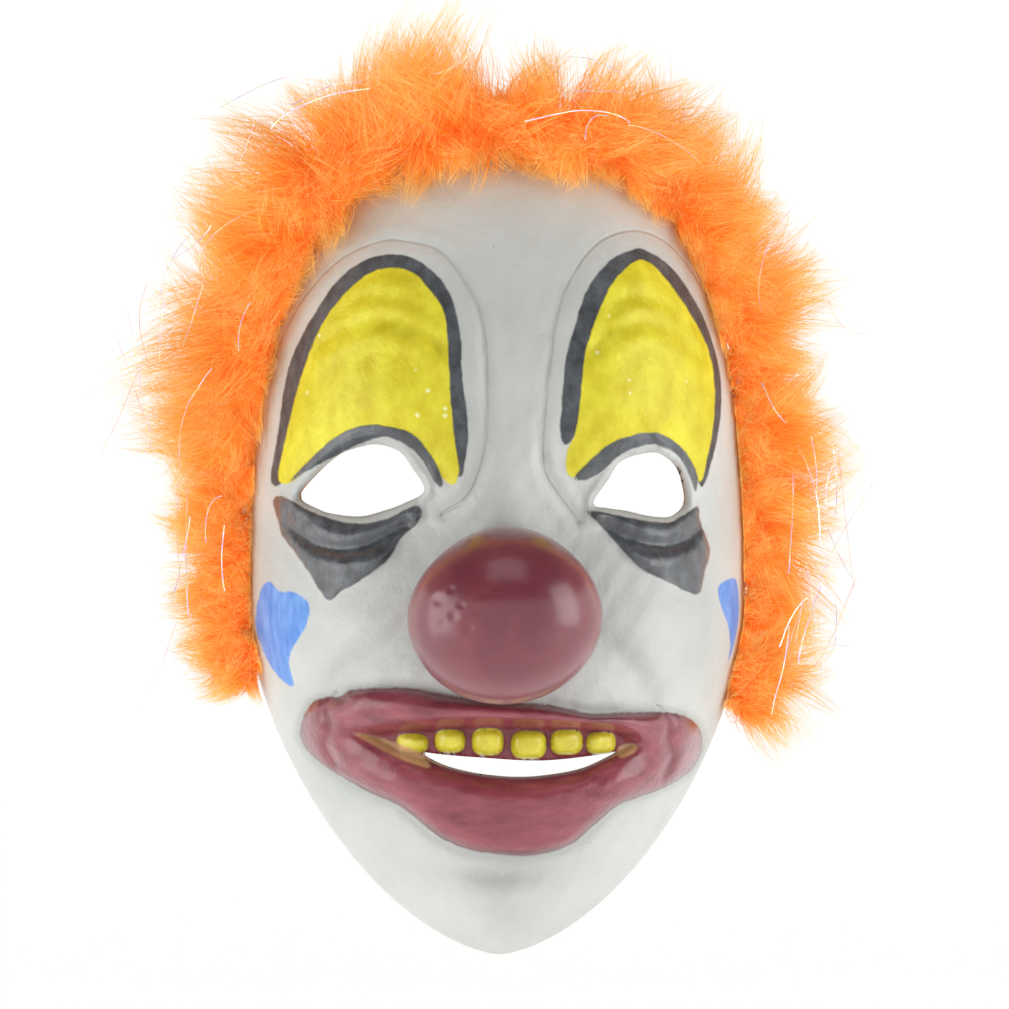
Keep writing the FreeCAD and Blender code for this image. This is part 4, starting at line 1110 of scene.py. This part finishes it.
def buildBinding(side, startAngle, way):
    centre, _, _, _ = trimFrame([startAngle, startAngle + way])
    perMm = way / np.linalg.norm(centre[1] - centre[0])
    turns = cord["bindLength"] / (2 * cord["bindRadius"])
    share = np.linspace(0, 1, int(turns * 16))
    centre, off, back, _ = trimFrame(startAngle + perMm * (1.0 + cord["bindLength"] * share))
    lay = 2 * np.pi * turns * share
    swing = off * np.cos(lay)[:, None] + back * np.sin(lay)[:, None]
    verts, faces = tube((centre + swing * (boa["coreRadius"] + 0.1)) * mm, cord["bindRadius"] * mm, 6)
    thread = fibreMaterial("waxedPolyesterThread" + side, "#A8430F", "#E07A30", 0.3)
    standFor(addPiece("endBinding" + side, verts, faces, thread), "binding_thread",
             "end_whipping_" + side.lower())


buildCord()
buildBinding("Right", boa["firstAngle"], 1)
buildBinding("Left", boa["lastAngle"], -1)
print("cord laid")

# ---- hot-melt glue: milky, rounded dabs that wet both the cord and the latex

glue = {
    "count": 15,
    "size": 2.3,
    "lump": 0.9,
    "start": 9.0,
    "seed": 3,
}


def glueMaterial():
    material, tree = newMaterial("hotMeltGlue")
    place = addNode(tree, "ShaderNodeTexCoord").outputs["Object"]
    haze = addNode(tree, "ShaderNodeTexNoise", {"Vector": place, "Scale": 500.0, "Detail": 2.0})
    colour = addNode(tree, "ShaderNodeMix", {0: haze.outputs[0], 6: linear("#CFC2A0"), 7: linear("#EFE8D2")},
                     data_type="RGBA")
    shader = addNode(tree, "ShaderNodeBsdfPrincipled", {"Base Color": colour.outputs[2], "Roughness": 0.22,
                                                        "Subsurface Weight": 0.4, "Subsurface Scale": 0.001})
    finishMaterial(tree, shader)
    return material


def glueTree():
    tree = bpy.data.node_groups.new("glueDabs", "GeometryNodeTree")
    for label, kind in (("Geometry", "Geometry"), ("Size", "Float"), ("Lump", "Float"), ("Seed", "Int"),
                        ("Material", "Material")):
        tree.interface.new_socket(label, in_out="INPUT", socket_type="NodeSocket" + kind)
    tree.interface.new_socket("Geometry", in_out="OUTPUT", socket_type="NodeSocketGeometry")
    given = addNode(tree, "NodeGroupInput").outputs
    ball = addNode(tree, "GeometryNodeMeshIcoSphere", {"Radius": given["Size"], "Subdivisions": 4})
    size = addNode(tree, "FunctionNodeRandomValue", {"Min": (0.8, 0.8, 0.8), "Max": (1.15, 1.15, 1.15),
                                                     "Seed": given["Seed"]}, data_type="FLOAT_VECTOR")
    dabs = addNode(tree, "GeometryNodeInstanceOnPoints",
                   {"Points": given["Geometry"], "Instance": ball.outputs[0],
                                                          "Scale": size.outputs[0]})
    solid = addNode(tree, "GeometryNodeRealizeInstances", {"Geometry": dabs.outputs[0]})
    where = addNode(tree, "GeometryNodeInputPosition").outputs[0]
    lumps = addNode(tree, "ShaderNodeTexNoise", {"Vector": where, "Scale": 260.0, "Detail": 1.0})
    push = addNode(tree, "ShaderNodeMath", {0: lumps.outputs[0], 1: 0.5}, operation="SUBTRACT").outputs[0]
    push = addNode(tree, "ShaderNodeMath", {0: push, 1: given["Lump"]}, operation="MULTIPLY").outputs[0]
    normal = addNode(tree, "GeometryNodeInputNormal").outputs[0]
    move = addNode(tree, "ShaderNodeVectorMath", {0: normal, "Scale": push}, operation="SCALE").outputs[0]
    lumpy = addNode(tree, "GeometryNodeSetPosition", {"Geometry": solid.outputs[0], "Offset": move})
    smooth = addNode(tree, "GeometryNodeSetShadeSmooth", {"Geometry": lumpy.outputs[0]})
    done = addNode(tree, "GeometryNodeSetMaterial",
                   {"Geometry": smooth.outputs[0], "Material": given["Material"]})
    addNode(tree, "NodeGroupOutput", {"Geometry": done.outputs[0]})
    return tree


degrees = np.linspace(boa["firstAngle"] + glue["start"], boa["lastAngle"] - glue["start"], glue["count"])
centre, off, back, _ = trimFrame(degrees)
lift = glue["size"] - boa["coreRadius"] - boa["wallGap"] * 1.3
spots = centre + off * lift - back * (boa["coreRadius"] + glue["size"] * 0.45)
dabs = grow("glueDabs", glueTree(), spots * mm, {}, {"Size": glue["size"] * mm, "Lump": glue["lump"] * mm,
                                                     "Seed": glue["seed"], "Material": glueMaterial()})
standFor(dabs, "hot_glue", "glue_beads")
print("glue set")

# ---- the head strap: flat braided elastic, 12 mm wide, ribbed lengthways by its rubber threads

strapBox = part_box("elastic_strap")
strap = {
    "width": strapBox[1].z - strapBox[0].z,
    "outerX": strapBox[1].x,
    "backY": strapBox[1].y,
    "thickness": 0.0012,
    "ribs": 8,
    "ribRise": 0.00016,
}
strap["rivetY"] = strapBox[0].y + strap["width"] / 2
strap["rivetZ"] = (strapBox[0].z + strapBox[1].z) / 2


def elasticMaterial():
    material, tree = newMaterial("braidedElastic")
    uv = addNode(tree, "ShaderNodeUVMap", uv_map="weave").outputs[0]
    slant = addNode(tree, "ShaderNodeTexWave", {"Vector": uv, "Scale": 0.55, "Distortion": 0.4},
                    bands_direction="DIAGONAL")  # 0.9 mm between the yarns' crossings
    cross = addNode(tree, "ShaderNodeTexWave", {"Vector": uv, "Scale": 0.62, "Distortion": 0.3},
                    bands_direction="X")
    yarn = addNode(tree, "ShaderNodeMath", {0: slant.outputs["Fac"], 1: cross.outputs["Fac"]},
                   operation="MULTIPLY")
    colour = addNode(tree, "ShaderNodeMix", {0: yarn.outputs[0], 6: linear("#C9C8C2"), 7: linear("#F2F1EC")},
                     data_type="RGBA")
    bump = addNode(tree, "ShaderNodeBump", {"Height": yarn.outputs[0], "Strength": 0.6, "Distance": 0.0002})
    shader = addNode(tree, "ShaderNodeBsdfPrincipled", {"Base Color": colour.outputs[2], "Roughness": 0.8,
                                                        "Normal": bump.outputs[0], "Sheen Weight": 0.25,
                                                        "Sheen Roughness": 0.4})
    finishMaterial(tree, shader)
    return material


def buildStrap():
    half, thick = strap["width"] / 2, strap["thickness"]
    midX, deep = strap["outerX"] - thick / 2, strap["backY"] - strap["rivetY"] - thick / 2
    turn = np.linspace(0, np.pi, 260)
    arc = np.stack([midX * np.cos(turn), strap["rivetY"] + deep * np.sin(turn)], -1)
    tab = half * np.sin(np.linspace(0.02, 0.98, 14) * np.pi / 2)[::-1]
    first = np.stack([np.full(14, midX), strap["rivetY"] - tab], -1)
    path = np.vstack([first, arc, first[::-1] * (-1, 1)])
    run = np.gradient(path, axis=0)
    run /= np.linalg.norm(run, axis=1, keepdims=True)
    outward = np.stack([run[:, 1], -run[:, 0]], -1)
    inTab = np.maximum(strap["rivetY"] - path[:, 1], 0)
    reach = np.sqrt(np.maximum(half ** 2 - inTab ** 2, 1e-10))
    across = np.linspace(-1, 1, 49)
    rib = strap["ribRise"] * (np.abs(np.sin(across * np.pi * strap["ribs"] / 2)) - 0.5)
    edge = np.sqrt(np.clip(1 - np.abs(across) ** 14, 0, 1))
    side = (thick / 2 + rib) * edge
    section = [(a, s) for a, s in zip(across, side)] + [(a, -s) for a,
                                                        s in zip(across[::-1][1:-1], side[::-1][1:-1])]
    section = np.array(section)
    count, ring = len(path), len(section)
    verts = np.zeros((count, ring, 3))
    verts[:, :, :2] = path[:, None] + outward[:, None] * section[None, :, 1:2]
    verts[:, :, 2] = strap["rivetZ"] + reach[:, None] * section[None, :, 0]
    index = np.arange(count * ring).reshape(count, ring)
    beside = np.roll(index, -1, 1)
    faces = np.stack([index[:-1], index[1:], beside[1:], beside[:-1]], -1).reshape(-1, 4).tolist()
    faces += [tuple(index[0]), tuple(index[-1][::-1])]
    piece = addPiece("headStrap", verts.reshape(-1, 3), faces, elasticMaterial())
    far = np.repeat(lengthAlong(np.column_stack([path, np.zeros(count)])) * 1000, ring)
    up = (verts[:, :, 2].ravel() - strap["rivetZ"]) * 1000
    loops = np.zeros(len(piece.data.loops), int)
    piece.data.loops.foreach_get("vertex_index", loops)
    giveUv(piece.data, np.stack([far, up], -1)[loops], "weave")
    standFor(piece, "elastic", "elastic_strap", body="strap")
    return piece


buildStrap()
print("strap built")

# ---- fixings keep their own shape and get their finish here


def nickelMaterial():
    # nickel-plated brass: warm grey, softly brushed by handling
    material, tree = newMaterial("nickelPlatedBrass")
    place = addNode(tree, "ShaderNodeTexCoord").outputs["Object"]
    wear = addNode(tree, "ShaderNodeTexNoise", {"Vector": place, "Scale": 900.0, "Detail": 5.0})
    tone = addNode(tree, "ShaderNodeMix", {0: wear.outputs[0], 6: linear("#B5AFA4"), 7: linear("#D8D4CB")},
                   data_type="RGBA")
    rough = addNode(tree, "ShaderNodeMapRange", {"Value": wear.outputs[0], "To Min": 0.16, "To Max": 0.36})
    bump = addNode(tree, "ShaderNodeBump", {"Height": wear.outputs[0], "Strength": 0.15, "Distance": 0.0001})
    shader = addNode(tree, "ShaderNodeBsdfPrincipled", {"Base Color": tone.outputs[2], "Metallic": 1.0,
                                                        "Roughness": rough.outputs[0],
                                                        "Normal": bump.outputs[0]})
    finishMaterial(tree, shader)
    return material


def nylonMaterial():
    # moulded nylon: milky, with the faint orange peel of the mould
    material, tree = newMaterial("mouldedNylon")
    place = addNode(tree, "ShaderNodeTexCoord").outputs["Object"]
    peel = addNode(tree, "ShaderNodeTexNoise", {"Vector": place, "Scale": 1400.0, "Detail": 3.0})
    tone = addNode(tree, "ShaderNodeMix", {0: peel.outputs[0], 6: linear("#DCDAD2"), 7: linear("#F2F0EA")},
                   data_type="RGBA")
    bump = addNode(tree, "ShaderNodeBump", {"Height": peel.outputs[0], "Strength": 0.2, "Distance": 0.0001})
    shader = addNode(tree, "ShaderNodeBsdfPrincipled", {"Base Color": tone.outputs[2], "Roughness": 0.38,
                                                        "Normal": bump.outputs[0], "IOR": 1.53,
                                                        "Subsurface Weight": 0.2, "Subsurface Scale": 0.001})
    finishMaterial(tree, shader)
    return material


def clothMaterial():
    # plain-woven cotton soaked with latex: a 0.8 mm weave, drawn a little coarse so that it shows
    material, tree = newMaterial("latexedCotton")
    place = addNode(tree, "ShaderNodeTexCoord").outputs["Object"]
    warp = addNode(tree, "ShaderNodeTexWave", {"Vector": place, "Scale": 200.0, "Distortion": 0.6},
                   bands_direction="Y")
    weft = addNode(tree, "ShaderNodeTexWave", {"Vector": place, "Scale": 200.0, "Distortion": 0.6},
                   bands_direction="Z")
    weave = addNode(tree, "ShaderNodeMath", {0: warp.outputs["Fac"], 1: weft.outputs["Fac"]},
                    operation="MULTIPLY")
    tone = addNode(tree, "ShaderNodeMix", {0: weave.outputs[0], 6: linear("#A98F6B"), 7: linear("#DCCBAA")},
                   data_type="RGBA")
    bump = addNode(tree, "ShaderNodeBump", {"Height": weave.outputs[0], "Strength": 0.6, "Distance": 0.0002})
    shader = addNode(tree, "ShaderNodeBsdfPrincipled", {"Base Color": tone.outputs[2], "Roughness": 0.75,
                                                        "Normal": bump.outputs[0]})
    finishMaterial(tree, shader)
    return material


finishes = {"rivet_post": nickelMaterial(), "washer": nylonMaterial(), "strap_patch": clothMaterial()}
finishes["rivet_cap"] = finishes["strap_eyelet"] = finishes["rivet_post"]
for node, finish in finishes.items():
    for side in ("_left", "_right"):
        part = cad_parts[node + side]
        part.data.materials.clear()
        part.data.materials.append(finish)
print("fixings finished")

# ---- a plain pale studio: a round sweep of paper, four softboxes and a camera

studio = {
    "floorZ": -0.36,
    "flatRadius": 1.3,
    "sweepRadius": 1.2,
    "wallHeight": 1.25,
    "paper": "#F4F4F3",
    "paperGlow": 0.65,
    "worldStrength": 0.1,
    "cameraDistance": 1.05,
    "cameraTarget": (0.0007, -0.02, -0.0048),
    "cameraTurn": -1.6,  # degrees round to the mask's right side
    "focalLength": 136.7,
}


def buildSweep():
    turn = np.linspace(0, np.pi / 2, 12)
    outline = [(0.02, 0.0), (studio["flatRadius"], 0.0)]
    outline += [(studio["flatRadius"] + studio["sweepRadius"] * math.sin(a),
                 studio["sweepRadius"] * (1 - math.cos(a))) for a in turn[1:]]
    outline.append((studio["flatRadius"] + studio["sweepRadius"], studio["wallHeight"]))
    around = 96
    spin = 2 * np.pi * np.arange(around) / around
    verts = [(r * math.cos(a), r * math.sin(a), studio["floorZ"] + h) for r, h in outline for a in spin]
    faces = [tuple(range(around))]
    for i in range(len(outline) - 1):
        for k in range(around):
            n = (k + 1) % around
            faces.append((i * around + k, (i + 1) * around + k, (i + 1) * around + n, i * around + n))
    material, tree = newMaterial("studioPaper")
    place = addNode(tree, "ShaderNodeTexCoord").outputs["Object"]
    tooth = addNode(tree, "ShaderNodeTexNoise", {"Vector": place, "Scale": 400.0, "Detail": 2.0})
    bump = addNode(tree, "ShaderNodeBump", {"Height": tooth.outputs[0], "Strength": 0.05, "Distance": 0.0002})
    shader = addNode(tree, "ShaderNodeBsdfPrincipled",
                     {"Base Color": linear(studio["paper"]), "Roughness": 0.9,
                                                        "Emission Color": linear(studio["paper"]),
                                                        "Emission Strength": studio["paperGlow"],
                                                        "Normal": bump.outputs[0]})
    finishMaterial(tree, shader)
    addPiece("paperSweep", verts, faces, material)


def addSoftbox(name, place, target, width, height, power):
    light = bpy.data.lights.new(name, "AREA")
    light.shape = "RECTANGLE"
    light.size, light.size_y = width, height
    light.energy = power
    box = bpy.data.objects.new(name, light)
    box.location = place
    box.rotation_euler = (Vector(target) - Vector(place)).to_track_quat("-Z", "Y").to_euler()
    scene.collection.objects.link(box)


def addCamera():
    camera = bpy.data.objects.new("studioCamera", bpy.data.cameras.new("studioCamera"))
    target = Vector(studio["cameraTarget"])
    turn = math.radians(studio["cameraTurn"])
    camera.location = target + Vector((math.sin(turn), -math.cos(turn), 0)) * studio["cameraDistance"]
    camera.rotation_euler = (target - camera.location).to_track_quat("-Z", "Y").to_euler()
    camera.data.sensor_width = 36.0
    camera.data.lens = studio["focalLength"]
    scene.collection.objects.link(camera)
    scene.camera = camera


buildSweep()
addSoftbox("rightSoftbox", (0.92, -0.3, 0.16), (0, -0.05, -0.02), 0.56, 0.8, 4.0)
addSoftbox("leftSoftbox", (-0.98, -0.24, 0.02), (0, -0.05, -0.02), 0.7, 0.9, 4.1)
addSoftbox("overheadSoftbox", (0.0, -0.6, 1.1), (0, -0.03, 0), 0.9, 0.7, 2.1)
addSoftbox("rearSoftbox", (0.0, 1.2, 0.5), (0, 0, 0), 1.4, 0.9, 1.6)
world = bpy.data.worlds.new("studioWorld")
world.use_nodes = True
world.node_tree.nodes["Background"].inputs["Color"].default_value = (1.0, 1.0, 1.0, 1.0)
world.node_tree.nodes["Background"].inputs["Strength"].default_value = studio["worldStrength"]
scene.world = world
scene.view_settings.view_transform = "Standard"
addCamera()
